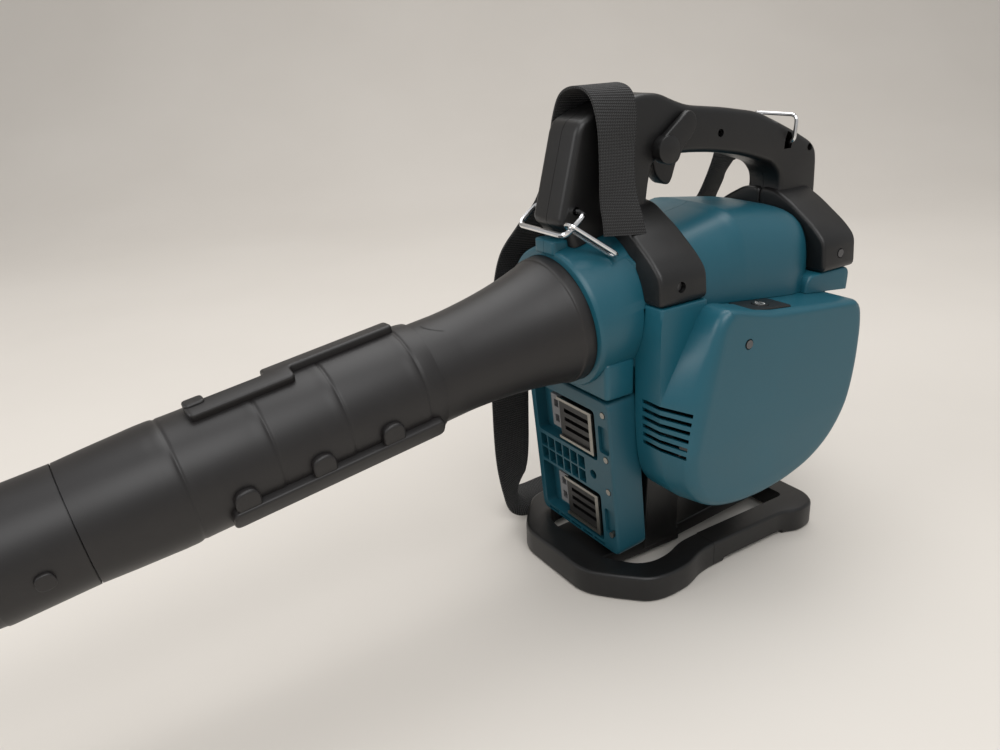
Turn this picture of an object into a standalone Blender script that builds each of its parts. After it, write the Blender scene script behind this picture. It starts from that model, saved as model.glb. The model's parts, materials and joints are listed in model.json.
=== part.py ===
"""Hand-held cordless leaf blower with two battery bays, a telescopic blower tube, a stand and a shoulder strap.

Metres, +Z up. The tube points to -X, the motor side is -Y, the air inlet is on +Y. The origin is on the underside of
the stand's front bar, which lies flat on the ground.
"""
from math import asin, cos, pi, radians, sin, tan

import bmesh
import bpy
import numpy as np
from mathutils import Matrix, Vector

# ---- driving dimensions (m, radians) ----
GAP = 0.0004                        # running gap between neighbouring pieces
SEAM = 0.00018                      # half of the gap between the two mirrored shells
WALL = 0.0028                       # moulded wall thickness

FAN_X, FAN_Z = 0.126, 0.186         # fan axis, parallel to Y
SCROLL_R_MIN, SCROLL_R_MAX = 0.086, 0.110
DOME_HALF_WIDTH = 0.068             # motor side
INLET_HALF_WIDTH = 0.062            # inlet side
DRUM_LEVELS = (0.30, 0.50, 0.66, 0.79, 0.88, 0.94)   # shares of the half width
DOME_LEVELS = (0.30, 0.55, 0.74, 0.86, 0.93, 0.97)
DOME_ROOF, DOME_REAR, DOME_FALL, DOME_CORNER = 0.1095, 0.1015, 0.12, 8   # squared-off top rear
INLET_FACE_Y = INLET_HALF_WIDTH * DRUM_LEVELS[-1]
INLET_R = 0.053
BULKHEAD_Y = -0.030                 # wall between fan and motor

TUBE_TILT = radians(8.3)            # the tube's droop below level
COLLAR = Vector((-0.0034, 0.0, 0.2246))
COLLAR_R, COLLAR_BORE_R = 0.0560, 0.0502
PIPE_R, PIPE_NECK_R = 0.0498, 0.0369
PIPE_END_S = 0.2755                 # distances along the tube's axis from the collar's rim
SLEEVE_START_S, SLEEVE_END_S = 0.119, 0.350
SLEEVE_BORE_R = 0.0374
TIP_END_S = 0.575
TUBE_WALL = 0.0017
TOP_CHANNEL_ANGLE, LOW_CHANNEL_ANGLE = radians(5.6), radians(122)
CHANNEL_POCKETS_S = (0.1625, 0.2115, 0.2615)

HANDLE_HALF = 0.0180

LEDGE_SLOPE = radians(6.5)
LEDGE_Z_FRONT = 0.2385              # at x = 0.03
COVER_INNER_Y, COVER_OUTER_Y = -0.0490, -0.1015
COVER_FRONT_X = 0.0340
CHEEK_START_Y = -0.0765             # the cover steps and slants back from here to its outer face

BLOCK_LEAN = radians(5)
BLOCK_FACE_X, BLOCK_FACE_Z = 0.0100, 0.1470
BLOCK_Y0, BLOCK_Y1 = -0.0480, 0.0580
BLOCK_DEPTH = 0.0300
BLOCK_Z0, BLOCK_Z1 = 0.0250, 0.1660
BAY_PITCH = 0.0760
BAY_TOP_Z = 0.1315                  # middle of the upper bay

STAND_H = 0.0230
STRAP_W, STRAP_T = 0.0380, 0.0018

SADDLE_Z = 0.2412                   # lower edge of the front saddle
REAR_COLUMN_TOP = 0.2330
VENT_COUNT, VENT_PITCH, VENT_H, VENT_SLOPE = 6, 0.0066, 0.0030, radians(14)
BAY_HALF = 0.0225

TRIGGER_X, TRIGGER_Z, TRIGGER_HALF = 0.0885, 0.3435, 0.0062
SPRING_X, SPRING_BOTTOM, SPRING_TOP = 0.1060, 0.3495, 0.3660
LEVER_X, LEVER_Z = 0.0855, 0.3420
RING_X, RING_Z = 0.0045, 0.3075
FRONT_RING_AWAY = (-0.80, 0.0, -0.60)
REAR_RING_X, REAR_RING_Z = 0.2260, 0.3330
REAR_RING_AWAY = (0.05, 0.0, 0.99875)

HINGE_X, HINGE_Y = 0.0545, 0.0640    # inlet cover's hinge, upright
EAR_Z = ((0.1600, 0.1710), (0.2010, 0.2120))
INLET_COVER_R = 0.0660
KNOB_X = FAN_X + INLET_COVER_R + 0.0085
FAN_BLADES = 9
STRAP_END_SKIP = 1

SEG = 32

# ---- scene and helpers ----
for old in list(bpy.data.objects):
    bpy.data.objects.remove(old, do_unlink=True)

partsCollection = bpy.data.collections.new("cordless_blower")
cutterCollection = bpy.data.collections.new("cutters")
for collection in (partsCollection, cutterCollection):
    bpy.context.scene.collection.children.link(collection)

FINISHES = {
    "teal": ((0.020, 0.145, 0.175), 0.42, 0.0),
    "black": ((0.020, 0.019, 0.020), 0.55, 0.0),
    "chrome": ((0.75, 0.75, 0.76), 0.15, 1.0),
    "steel": ((0.45, 0.45, 0.46), 0.35, 1.0),
    "copper": ((0.65, 0.28, 0.12), 0.35, 1.0),
    "board": ((0.02, 0.16, 0.06), 0.5, 0.0),
    "webbing": ((0.015, 0.015, 0.016), 0.9, 0.0),
    "grey": ((0.20, 0.20, 0.20), 0.5, 0.0),
}


def material(name, finish):
    colour, roughness, metallic = FINISHES[finish]
    made = bpy.data.materials.new(name)
    made.use_nodes = True
    shader = made.node_tree.nodes["Principled BSDF"]
    shader.inputs["Base Color"].default_value = (*colour, 1)
    shader.inputs["Roughness"].default_value = roughness
    shader.inputs["Metallic"].default_value = metallic
    return made


def place(mesh, name, finish=None, matrix=None):
    """Link a mesh as a part, or as a helper when it has no finish."""
    obj = bpy.data.objects.new(name, mesh)
    if matrix is not None:
        obj.matrix_world = matrix
    if finish is None:
        cutterCollection.objects.link(obj)
        obj.hide_render = True
        obj.display_type = "WIRE"
    else:
        partsCollection.objects.link(obj)
        mesh.materials.clear()
        mesh.materials.append(material(name, finish))
    return obj


def boolean(obj, other, operation):
    step = obj.modifiers.new(operation.lower(), "BOOLEAN")
    step.operation = operation
    step.solver = "EXACT"
    step.object = other
    return obj


def cut(obj, *others):
    for other in others:
        boolean(obj, other, "DIFFERENCE")
    return obj


def join(obj, *others):
    for other in others:
        boolean(obj, other, "UNION")
    return obj


def soften(obj, width, segments=2, angle=35):
    step = obj.modifiers.new("bevel", "BEVEL")
    step.width = width
    step.segments = segments
    step.limit_method = "ANGLE"
    step.angle_limit = radians(angle)
    step.use_clamp_overlap = True
    return obj


def smooth(obj, angle=35):
    obj.data.shade_smooth()
    obj.data.set_sharp_from_angle(angle=radians(angle))
    return obj


def box(name, low, high, finish=None, matrix=None):
    mesh = bpy.data.meshes.new(name)
    bm = bmesh.new()
    bmesh.ops.create_cube(bm, size=1.0)
    low, high = Vector(low), Vector(high)
    bmesh.ops.transform(bm, verts=bm.verts, matrix=Matrix.Translation((low + high) / 2)
                        @ Matrix.Diagonal((*(high - low), 1)))
    bm.to_mesh(mesh)
    bm.free()
    return place(mesh, name, finish, matrix)


def rod(name, start, end, radius, finish=None, segments=16, radius2=None, matrix=None):
    """Cylinder or cone from start to end."""
    start, end = Vector(start), Vector(end)
    mesh = bpy.data.meshes.new(name)
    bm = bmesh.new()
    bmesh.ops.create_cone(bm, cap_ends=True, segments=segments, radius1=radius,
                          radius2=radius if radius2 is None else radius2, depth=(end - start).length)
    turn = (end - start).to_track_quat("Z", "Y").to_matrix().to_4x4()
    bmesh.ops.transform(bm, verts=bm.verts, matrix=Matrix.Translation((start + end) / 2) @ turn)
    bm.to_mesh(mesh)
    bm.free()
    return place(mesh, name, finish, matrix)


def plate(name, outline, near, far, finish=None, plane="XZ"):
    """A flat outline as a filled 2D curve, given thickness from near to far along the third axis."""
    curve = bpy.data.curves.new(name, "CURVE")
    curve.dimensions = "2D"
    curve.fill_mode = "BOTH"
    curve.extrude = abs(far - near) / 2
    line = curve.splines.new("POLY")
    line.points.add(len(outline) - 1)
    for point, (u, v) in zip(line.points, outline):
        point.co = (u, v, 0, 1)
    line.use_cyclic_u = True
    mid = (near + far) / 2
    turn = {"XZ": Matrix(((1, 0, 0, 0), (0, 0, 1, mid), (0, 1, 0, 0), (0, 0, 0, 1))),
            "XY": Matrix(((1, 0, 0, 0), (0, 1, 0, 0), (0, 0, 1, mid), (0, 0, 0, 1))),
            "YZ": Matrix(((0, 0, 1, mid), (1, 0, 0, 0), (0, 1, 0, 0), (0, 0, 0, 1)))}[plane]
    guide = bpy.data.objects.new(name + "_curve", curve)
    bpy.context.scene.collection.objects.link(guide)
    mesh = bpy.data.meshes.new_from_object(guide.evaluated_get(bpy.context.evaluated_depsgraph_get()))
    bpy.data.objects.remove(guide)
    bm = bmesh.new()
    bm.from_mesh(mesh)
    bmesh.ops.remove_doubles(bm, verts=bm.verts, dist=1e-6)
    bmesh.ops.transform(bm, verts=bm.verts, matrix=turn)
    bmesh.ops.recalc_face_normals(bm, faces=bm.faces)
    bm.to_mesh(mesh)
    bm.free()
    mesh.name = name
    return place(mesh, name, finish)


def turned(name, profile, finish=None, matrix=None, steps=SEG, closed=True):
    """Profile of (radius, height) turned about local Z: down the outer side, then up the inner side."""
    mesh = bpy.data.meshes.new(name)
    points = [(r, 0, h) for r, h in profile]
    edges = [(i, i + 1) for i in range(len(points) - 1)]
    if closed:
        edges.append((len(points) - 1, 0))
    mesh.from_pydata(points, edges, [])
    obj = place(mesh, name, finish, matrix)
    screw = obj.modifiers.new("screw", "SCREW")
    screw.steps = screw.render_steps = steps
    screw.use_merge_vertices = True
    screw.merge_threshold = 0.00005
    return obj


def loft(name, rings, finish=None, caps=True):
    """Skin between closed rings of equal length, each an (n, 3) array."""
    n = len(rings[0])
    mesh = bpy.data.meshes.new(name)
    faces = [(k * n + i, k * n + (i + 1) % n, (k + 1) * n + (i + 1) % n, (k + 1) * n + i)
             for k in range(len(rings) - 1) for i in range(n)]
    if caps:
        faces.append(tuple(range(n))[::-1])
        faces.append(tuple(range((len(rings) - 1) * n, len(rings) * n)))
    mesh.from_pydata(np.concatenate(rings).tolist(), [], faces)
    bm = bmesh.new()
    bm.from_mesh(mesh)
    bmesh.ops.recalc_face_normals(bm, faces=bm.faces)
    bm.to_mesh(mesh)
    bm.free()
    return place(mesh, name, finish)


def inset(outline, distance):
    """The outline moved inwards by a distance, each corner along its bisector."""
    points = np.array(outline, float)
    after = np.roll(points, -1, 0) - points
    after /= np.linalg.norm(after, axis=1)[:, None]
    normal = np.stack([after[:, 1], -after[:, 0]], 1)
    x, y = points[:, 0], points[:, 1]
    if (x * np.roll(y, -1) - y * np.roll(x, -1)).sum() > 0:
        normal = -normal
    before = np.roll(normal, 1, 0)
    return points + distance * (normal + before) / (1 + (normal * before).sum(1))[:, None]


def cushion(name, outline, near, far, radius, finish=None, plane="XZ", count=3):
    """Plate with rounded edges, skinned through inset copies of its outline."""
    turns = [radians(90 * k / count) for k in range(count + 1)]
    levels = [(near + radius * (1 - sin(a)), radius * (1 - cos(a))) for a in turns[::-1]]
    levels += [(far - radius * (1 - sin(a)), radius * (1 - cos(a))) for a in turns]
    order = {"XZ": (0, 2, 1), "XY": (0, 1, 2), "YZ": (2, 0, 1)}[plane]
    rings = []
    for level, share in levels:
        flat = inset(outline, share)
        rings.append(np.stack([flat[:, 0], flat[:, 1], np.full(len(flat), level)], 1)[:, order])
    obj = loft(name, rings, finish)
    bm = bmesh.new()
    bm.from_mesh(obj.data)
    bmesh.ops.triangulate(bm, faces=[face for face in bm.faces if len(face.verts) > 4])
    bm.to_mesh(obj.data)
    bm.free()
    return obj


def wire(name, points, radius, finish, cyclic=False, resolution=2):
    """Round wire along points, as a curve with a bevel and filled ends."""
    curve = bpy.data.curves.new(name, "CURVE")
    curve.dimensions = "3D"
    curve.bevel_depth = radius
    curve.bevel_resolution = resolution
    curve.use_fill_caps = True
    line = curve.splines.new("POLY")
    line.points.add(len(points) - 1)
    for point, co in zip(line.points, points):
        point.co = (*co, 1)
    line.use_cyclic_u = cyclic
    obj = bpy.data.objects.new(name, curve)
    partsCollection.objects.link(obj)
    curve.materials.append(material(name, finish))
    return obj


def arc(centre, radius, start, end, count):
    """Points on a flat arc, angles in degrees."""
    return [(centre[0] + radius * cos(radians(a)), centre[1] + radius * sin(radians(a)))
            for a in np.linspace(start, end, count)]


def tubeFrame():
    """Local Z runs out along the tube, local X points to its top, local Y stays world Y."""
    return Matrix.Translation(COLLAR) @ Matrix.Rotation(-(pi / 2 + TUBE_TILT), 4, "Y")


def tubeBlock(name, s0, s1, r0, r1, angle, half, finish=None):
    """Block on the tube from s0 to s1, between two radii, centred on an angle from the top towards -Y."""
    frame = tubeFrame() @ Matrix.Rotation(-angle, 4, "Z")
    return box(name, (r0, -half, s0), (r1, half, s1), finish, frame)


def alongFan(y):
    """Local Z points along +Y from the fan's axis at y."""
    return Matrix.Translation((FAN_X, y, FAN_Z)) @ Matrix.Rotation(-pi / 2, 4, "X")


# ---- fan housing: two shells round the scroll, split on the middle plane ----
def scrollRadius(angle):
    """Spiral from the tongue (180 deg) under the fan to the rear, a squared-off rear and roof, then the duct's top."""
    if angle >= 180:
        return SCROLL_R_MIN + (SCROLL_R_MAX - SCROLL_R_MIN) * (angle - 180) / 270
    if angle < 90:
        roof = DOME_ROOF / (sin(radians(angle)) + DOME_FALL * cos(radians(angle)))
        rear = DOME_REAR / cos(radians(angle))
        return (roof ** -DOME_CORNER + rear ** -DOME_CORNER) ** (-1 / DOME_CORNER)
    roof = (SCROLL_R_MAX - 0.003) / (sin(radians(angle)) - tan(radians(9.3)) * cos(radians(angle)))
    front = -0.098 / min(cos(radians(angle)), -1e-3)
    return max(min(roof, front), SCROLL_R_MIN)


def bodyLoft(name, grow=0.0, start=None, end=None):
    """Superelliptic drum round the scroll's outline; grow moves its skin, start and end cut it short in Y."""
    motorSide, inletSide = DOME_HALF_WIDTH + grow, INLET_HALF_WIDTH + grow
    levels = [-motorSide * k for k in DOME_LEVELS[::-1]] + [0.0] + [inletSide * k for k in DRUM_LEVELS]
    if start is not None:
        levels = [start] + [y for y in levels if y > start + 0.002]
    if end is not None:
        levels = [y for y in levels if y < end - 0.002] + [end]
    rings = []
    for y in levels:
        half, power = (motorSide, 4.0) if y < 0 else (inletSide, 5.0)
        share = (1 - (abs(y) / half) ** power) ** (1 / power)
        ring = []
        for angle in list(range(0, 90, 6)) + list(range(90, 360, 10)):
            r = scrollRadius(angle) * share + grow
            ring.append((FAN_X + r * cos(radians(angle)), y, FAN_Z + r * sin(radians(angle))))
        rings.append(np.array(ring))
    return loft(name, rings)


def ledgeZ(x):
    return LEDGE_Z_FRONT - (x - 0.03) * tan(LEDGE_SLOPE)


def half(name, side):
    """Everything on one side of the middle plane."""
    return box(name, (-0.3, -0.3, -0.1), (0.4, -SEAM, 0.5)) if side < 0 else \
        box(name, (-0.3, SEAM, -0.1), (0.4, 0.3, 0.5))


def showAsPart(obj, name, finish):
    """Turn a helper into a part."""
    cutterCollection.objects.unlink(obj)
    partsCollection.objects.link(obj)
    obj.hide_render = False
    obj.display_type = "TEXTURED"
    obj.name = name
    obj.data.materials.append(material(name, finish))
    return obj


def buildHousing():
    scroll = bodyLoft("cut_scroll", -WALL, start=BULKHEAD_Y)
    dome = bodyLoft("cut_dome", -WALL, end=BULKHEAD_Y - WALL)
    frame = tubeFrame()
    duct = rod("cut_duct", (0, 0, -0.030), (0, 0, -0.115), 0.0475, segments=SEG, matrix=frame)
    socket = rod("cut_socket", (0, 0, 0.010), (0, 0, -0.0305), COLLAR_BORE_R, segments=SEG, matrix=frame)
    inlet = rod("cut_inlet", (FAN_X, INLET_FACE_Y - 0.02, FAN_Z), (FAN_X, INLET_FACE_Y + 0.02, FAN_Z), INLET_R,
                segments=SEG)
    shaft = rod("cut_shaft", (FAN_X, BULKHEAD_Y + 0.01, FAN_Z), (FAN_X, BULKHEAD_Y - 0.01, FAN_Z), 0.0120)
    underLedge = plate("cut_ledge", [(COVER_FRONT_X - GAP, ledgeZ(COVER_FRONT_X)), (0.30, ledgeZ(0.30)), (0.30, -0.02),
                                     (-0.05, -0.02), (-0.05, 0.1650), (COVER_FRONT_X - GAP, 0.1650)],
                       -0.13, COVER_INNER_Y + GAP)
    column = plate("rear_column", [(0.190, 0.165), (0.2280, 0.165), (0.2500, 0.196), (0.2530, REAR_COLUMN_TOP),
                                   (0.200, REAR_COLUMN_TOP)], -0.0690, 0.0560)
    columnHollow = plate("cut_rear_column", [(0.205, 0.172), (0.2270, 0.172), (0.2460, 0.200), (0.2470, 0.2270),
                                             (0.205, 0.2270)], -0.0660, 0.0530)
    hingeLugs = [box("hinge_lug_" + str(k), (HINGE_X - 0.004, 0.0480, z0), (HINGE_X + 0.004, HINGE_Y, z1))
                 for k, (z0, z1) in enumerate(EAR_Z)]
    ears = [rod("hinge_ear_" + str(k), (HINGE_X, HINGE_Y, z0), (HINGE_X, HINGE_Y, z1), 0.004)
            for k, (z0, z1) in enumerate(EAR_Z)]
    pinHole = rod("cut_hinge_pin", (HINGE_X, HINGE_Y, 0.15), (HINGE_X, HINGE_Y, 0.22), 0.0021)
    neck = box("collar_neck", (0.0060, -0.0500, 0.1690), (0.0335, 0.0500, 0.1980))
    for side, name in ((-1, "housing_left"), (1, "housing_right")):
        shell = showAsPart(bodyLoft(name + "_body"), name, "teal")
        collar = rod(name + "_collar", (0, 0, 0), (0, 0, -0.055), COLLAR_R, segments=SEG, radius2=COLLAR_R + 0.004,
                     matrix=frame)
        lug = tubeBlock(name + "_lug", -0.024, -0.006, 0.052, 0.0625, 0.0, 0.012)
        join(shell, collar, lug, column, neck)
        cut(shell, scroll, columnHollow, dome, duct, socket, inlet, shaft, underLedge)
        boolean(shell, half(name + "_half", side), "INTERSECT")
        if side > 0:
            join(shell, *hingeLugs, *ears)
            cut(shell, pinHole)
        smooth(shell)


buildHousing()


# ---- motor cover: open shell from the housing's side wall out to its flat outer face ----
def coverRing(y, edge):
    """Outline of the cover at y: edge pulls it in all round, and its front end runs back along the slanted cheek."""
    top = [(x, ledgeZ(x) - GAP) for x in (COVER_FRONT_X + 0.001, 0.055, 0.080, 0.120, 0.160, 0.200, 0.229)]
    rest = [(0.2330, 0.196), (0.2325, 0.165), (0.2290, 0.140), (0.2215, 0.117), (0.2075, 0.0970), (0.1870, 0.0825),
            (0.1620, 0.0740), (0.1370, 0.0700), (0.1120, 0.0695), (0.0900, 0.0715), (0.0700, 0.0765),
            (0.0530, 0.0860), (0.0420, 0.1000), (0.0370, 0.1200), (0.0350, 0.1450), (0.0345, 0.1700),
            (COVER_FRONT_X, 0.1950), (COVER_FRONT_X, 0.2250)]
    share = min(max(CHEEK_START_Y - y, 0.0) / (CHEEK_START_Y - COVER_OUTER_Y), 1.0)
    ring = []
    for k, (x, z) in enumerate(top + rest):
        away = Vector((x - 0.125, z - 0.150)).normalized()
        pull = edge * (0.35 if k < len(top) else 1.0)
        step = 0.039 * min(max((z - 0.170) / 0.066, 0), 1)
        slant = max(0.008 + 0.028 * min(max((z - 0.130) / 0.105, 0), 1), step)
        back = step + (slant - step) * share if share > 0 else 0.0
        shift = back * min(max((0.125 - x) / 0.080, 0), 1)
        ring.append((x - away.x * pull + shift, y, z - away.y * pull))
    return np.array(ring)


def buildMotorCover():
    rings = [coverRing(y, edge) for y, edge in (
        (COVER_INNER_Y, 0), (CHEEK_START_Y, 0), (CHEEK_START_Y - 0.0010, 0), (COVER_OUTER_Y + 0.0080, 0.0004),
        (COVER_OUTER_Y + 0.0025, 0.0030), (COVER_OUTER_Y, 0.0080))]
    cover = loft("motor_cover", rings, "teal")
    inner = []
    for y, like in ((COVER_INNER_Y + 0.010, COVER_INNER_Y), (CHEEK_START_Y + WALL, CHEEK_START_Y),
                    (CHEEK_START_Y + WALL - 0.0010, CHEEK_START_Y - 0.0010), (COVER_OUTER_Y + WALL, COVER_OUTER_Y)):
        outline = inset(coverRing(like, 0.0060 if like == COVER_OUTER_Y else 0)[:, ::2], WALL)
        inner.append(np.column_stack([outline[:, 0], np.full(len(outline), y), outline[:, 1]]))
    cut(cover, loft("cut_cover_hollow", inner))
    column = box("front_column", (0.034, -0.0765, 0.2280), (0.080, -0.0520, SADDLE_Z - GAP))
    cut(column, bodyLoft("cut_front_column", GAP),
        rod("cut_column_collar", (0, 0, 0.002), (0, 0, -0.055), COLLAR_R + GAP, segments=SEG,
            radius2=COLLAR_R + 0.004 + GAP, matrix=tubeFrame()))
    join(cover, column)
    tilt = Matrix.Translation((0.036, 0, 0.1650)) @ Matrix.Rotation(VENT_SLOPE, 4, "Y")
    for k in range(VENT_COUNT):
        z = -k * VENT_PITCH
        cut(cover, box("cut_vent_" + str(k), (-0.012, -0.0965, z - VENT_H / 2), (0.020, -0.0570, z + VENT_H / 2),
                       matrix=tilt))
    seat = rod("cut_cover_screw", (0.0975, -0.12, 0.2080), (0.0975, COVER_OUTER_Y + 0.0012, 0.2080), 0.0040)
    cut(cover, seat, panelSeat())
    smooth(cover)
    rod("cover_screw", (0.0975, COVER_OUTER_Y + 0.0008, 0.2080), (0.0975, COVER_OUTER_Y - 0.0006, 0.2080), 0.0034,
        "steel", segments=12)


# ---- power panel on the ledge ----
def ledgeFrame():
    """On the ledge at the panel's middle, local X down the slope to the rear."""
    return Matrix.Translation((0.128, -0.0825, ledgeZ(0.128))) @ Matrix.Rotation(LEDGE_SLOPE, 4, "Y")


def panelSeat():
    return box("cut_panel", (-0.0225, -0.0125, -0.0014), (0.0225, 0.0125, 0.004), matrix=ledgeFrame())


def buildPowerPanel():
    panel = box("power_panel", (-0.0222, -0.0122, -0.0010), (0.0222, 0.0122, 0.0006), "black", ledgeFrame())
    cut(panel, rod("cut_button", (0, 0, -0.01), (0, 0, 0.01), 0.0068, segments=20, matrix=ledgeFrame()))
    rod("power_button", (0, 0, -0.0007), (0, 0, 0.0014), 0.0064, "black", segments=20, matrix=ledgeFrame())


buildMotorCover()
buildPowerPanel()


# ---- handle: two mirrored shells with a front and a rear saddle ----
HANDLE_OUTLINE = [(-0.0100, 0.2990), (0.0066, 0.3620), (0.0105, 0.3680), (0.0220, 0.3730), (0.0450, 0.3795),
                  (0.0680, 0.3830), (0.0840, 0.3815), (0.0960, 0.3765), (0.1120, 0.3710), (0.1500, 0.3665),
                  (0.1890, 0.3600), (0.2150, 0.3495), (0.2400, 0.3385), (0.2560, 0.3305), (0.2625, 0.3240),
                  (0.2645, 0.3150), (0.2660, 0.2830), (0.2600, 0.2500), (0.2160, 0.2500), (0.2165, 0.2850),
                  (0.2195, 0.2970), (0.2180, 0.3060), (0.2090, 0.3160), (0.1900, 0.3225), (0.1710, 0.3280),
                  (0.1400, 0.3335), (0.1150, 0.3360), (0.0880, 0.3365), (0.0775, 0.3330), (0.0745, 0.3200),
                  (0.0720, 0.3020), (0.0720, 0.2700), (0.0040, 0.2700), (-0.0020, 0.2930)]
GRIP_HOLLOW = [(0.0020, 0.3060), (0.0120, 0.3560), (0.0260, 0.3680), (0.0680, 0.3770), (0.0900, 0.3720),
               (0.1120, 0.3660), (0.1880, 0.3545), (0.2350, 0.3350), (0.2520, 0.3270), (0.2580, 0.3180),
               (0.2600, 0.2900), (0.2250, 0.2900), (0.2260, 0.3060), (0.2120, 0.3215), (0.1720, 0.3335),
               (0.1200, 0.3415), (0.0840, 0.3415), (0.0720, 0.3360), (0.0680, 0.3060)]


def buildHandle():
    frame = tubeFrame()
    shape = bodyLoft("cut_handle_body", GAP)
    collar = rod("cut_handle_collar", (0, 0, 0.002), (0, 0, -0.055), COLLAR_R + GAP, segments=SEG,
                 radius2=COLLAR_R + 0.004 + GAP, matrix=frame)
    lug = tubeBlock("cut_handle_lug", -0.0244, -0.0056, 0.050, 0.0629, 0.0, 0.0124)
    column = plate("cut_handle_column", [(0.190, 0.165), (0.2284, 0.1646), (0.2504, 0.196),
                                         (0.2540, REAR_COLUMN_TOP + GAP), (0.200, REAR_COLUMN_TOP + GAP)],
                   -0.0694, 0.0564)
    join(shape, collar, lug, column)
    hollow = plate("cut_grip_hollow", GRIP_HOLLOW, -HANDLE_HALF + WALL, HANDLE_HALF - WALL)
    slot = box("cut_trigger_slot", (0.0790, -TRIGGER_HALF - 0.0006, 0.300), (0.1200, TRIGGER_HALF + 0.0006, 0.350))
    pinHole = rod("cut_trigger_pin", (TRIGGER_X, -0.0120, TRIGGER_Z), (TRIGGER_X, 0.03, TRIGGER_Z), 0.0021)
    shaftHole = rod("cut_lever_shaft", (LEVER_X, -0.03, LEVER_Z), (LEVER_X, 0.0, LEVER_Z), 0.0044)
    ringHole = rod("cut_front_ring", (RING_X, -0.03, RING_Z), (RING_X, 0.03, RING_Z), 0.0030)
    ringSlot = plate("cut_ring_slot", [(0.2205, 0.3275), (0.2290, 0.3275), (0.2305, 0.3345), (0.2285, 0.3400),
                                       (0.2240, 0.3420), (0.2215, 0.3360)], -0.03, 0.03)
    join(hollow, slot, pinHole, shaftHole, ringHole, ringSlot)
    for side, name in ((-1, "handle_left"), (1, "handle_right")):
        shell = showAsPart(cushion(name + "_grip", HANDLE_OUTLINE, -HANDLE_HALF, HANDLE_HALF, 0.0055), name, "black")
        saddle = [(0.0, 0.3060), (0.018, 0.3030), (0.030, 0.2945), (0.045, 0.2850), (0.060, 0.2715),
                  (0.071, 0.2570), (0.0765, SADDLE_Z), (0.0560, SADDLE_Z), (0.0, 0.2700)]
        front = plate(name + "_front_saddle", [(side * y, z) for y, z in saddle], 0.0345, 0.0795, plane="YZ")
        rear = [(0.0, 0.2960), (0.018, 0.2920), (0.034, 0.2840), (0.056, 0.2690), (0.068, 0.2570),
                (0.0725, 0.2460), (0.0725, REAR_COLUMN_TOP + GAP), (0.0, REAR_COLUMN_TOP + GAP)]
        back = plate(name + "_rear_saddle", [(side * y, z) for y, z in rear], 0.2140, 0.2540, plane="YZ")
        join(shell, front, back)
        cut(shell, shape, hollow)
        boolean(shell, half(name + "_half", side), "INTERSECT")
        for label, (x, z) in (("front", (0.0536, 0.2540)), ("rear", (0.2345, 0.2470))):
            face = side * (0.0725 if label == "front" else 0.0725)
            cut(shell, rod("cut_" + name + label, (x, face - side * 0.004, z), (x, face + side * 0.02, z), 0.0040))
            rod(name + "_screw_" + label, (x, face - side * 0.0036, z), (x, face - side * 0.0006, z), 0.0034, "steel",
                segments=12)
        smooth(shell)


def buildTrigger():
    outline = [(0.0850, 0.3490), (0.0830, 0.3440), (0.0840, 0.3390), (0.0880, 0.3300), (0.0905, 0.3205),
               (0.0985, 0.3130), (0.1045, 0.3120), (0.1075, 0.3160), (0.1120, 0.3290), (0.1165, 0.3350),
               (0.1165, 0.3460), (0.1000, 0.3490)]
    trigger = plate("trigger", outline, -TRIGGER_HALF, TRIGGER_HALF, "black")
    soften(trigger, 0.0012, 1)
    cut(trigger, rod("cut_trigger_bore", (TRIGGER_X, -0.01, TRIGGER_Z), (TRIGGER_X, 0.01, TRIGGER_Z), 0.0023))
    rod("trigger_pin", (TRIGGER_X, -0.0120, TRIGGER_Z), (TRIGGER_X, HANDLE_HALF - 0.0008, TRIGGER_Z),
        0.0019, "steel", segments=12)
    turns, rise, steps = 5, SPRING_TOP - SPRING_BOTTOM, 10
    coil = [(SPRING_X + 0.0026 * cos(2 * pi * k / steps), 0.0026 * sin(2 * pi * k / steps),
             SPRING_BOTTOM + 0.0006 + (rise - 0.0012) * k / (turns * steps)) for k in range(turns * steps + 1)]
    wire("trigger_spring", coil, 0.0004, "steel", resolution=0)
    box("switch_unit", (0.0300, -0.0095, 0.3150), (0.0660, 0.0095, 0.3600), "black")


def buildLever():
    boss = rod("control_lever", (LEVER_X, -HANDLE_HALF - GAP, LEVER_Z), (LEVER_X, -HANDLE_HALF - 0.0085, LEVER_Z),
               0.0105, "black", segments=24)
    arm = plate("lever_arm", [(0.0770, 0.3350), (0.0880, 0.3300), (0.0960, 0.3320), (0.1000, 0.3420), (0.1100, 0.3500),
                              (0.1140, 0.3580), (0.1115, 0.3660), (0.1050, 0.3690), (0.0900, 0.3580),
                              (0.0790, 0.3500)], -HANDLE_HALF - 0.0012, -HANDLE_HALF - 0.0070)
    shaft = rod("lever_stub", (LEVER_X, -HANDLE_HALF - 0.002, LEVER_Z), (LEVER_X, -0.0130, LEVER_Z), 0.0040)
    join(boss, arm, shaft)
    soften(boss, 0.0008, 1, 40)


buildHandle()
buildTrigger()
buildLever()


# ---- battery block under the outlet ----
def blockFrame():
    """On the block's front face, local X into the machine, local Z up the leaning face."""
    return Matrix.Translation((BLOCK_FACE_X, 0, BLOCK_FACE_Z)) @ Matrix.Rotation(-BLOCK_LEAN, 4, "Y")


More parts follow.
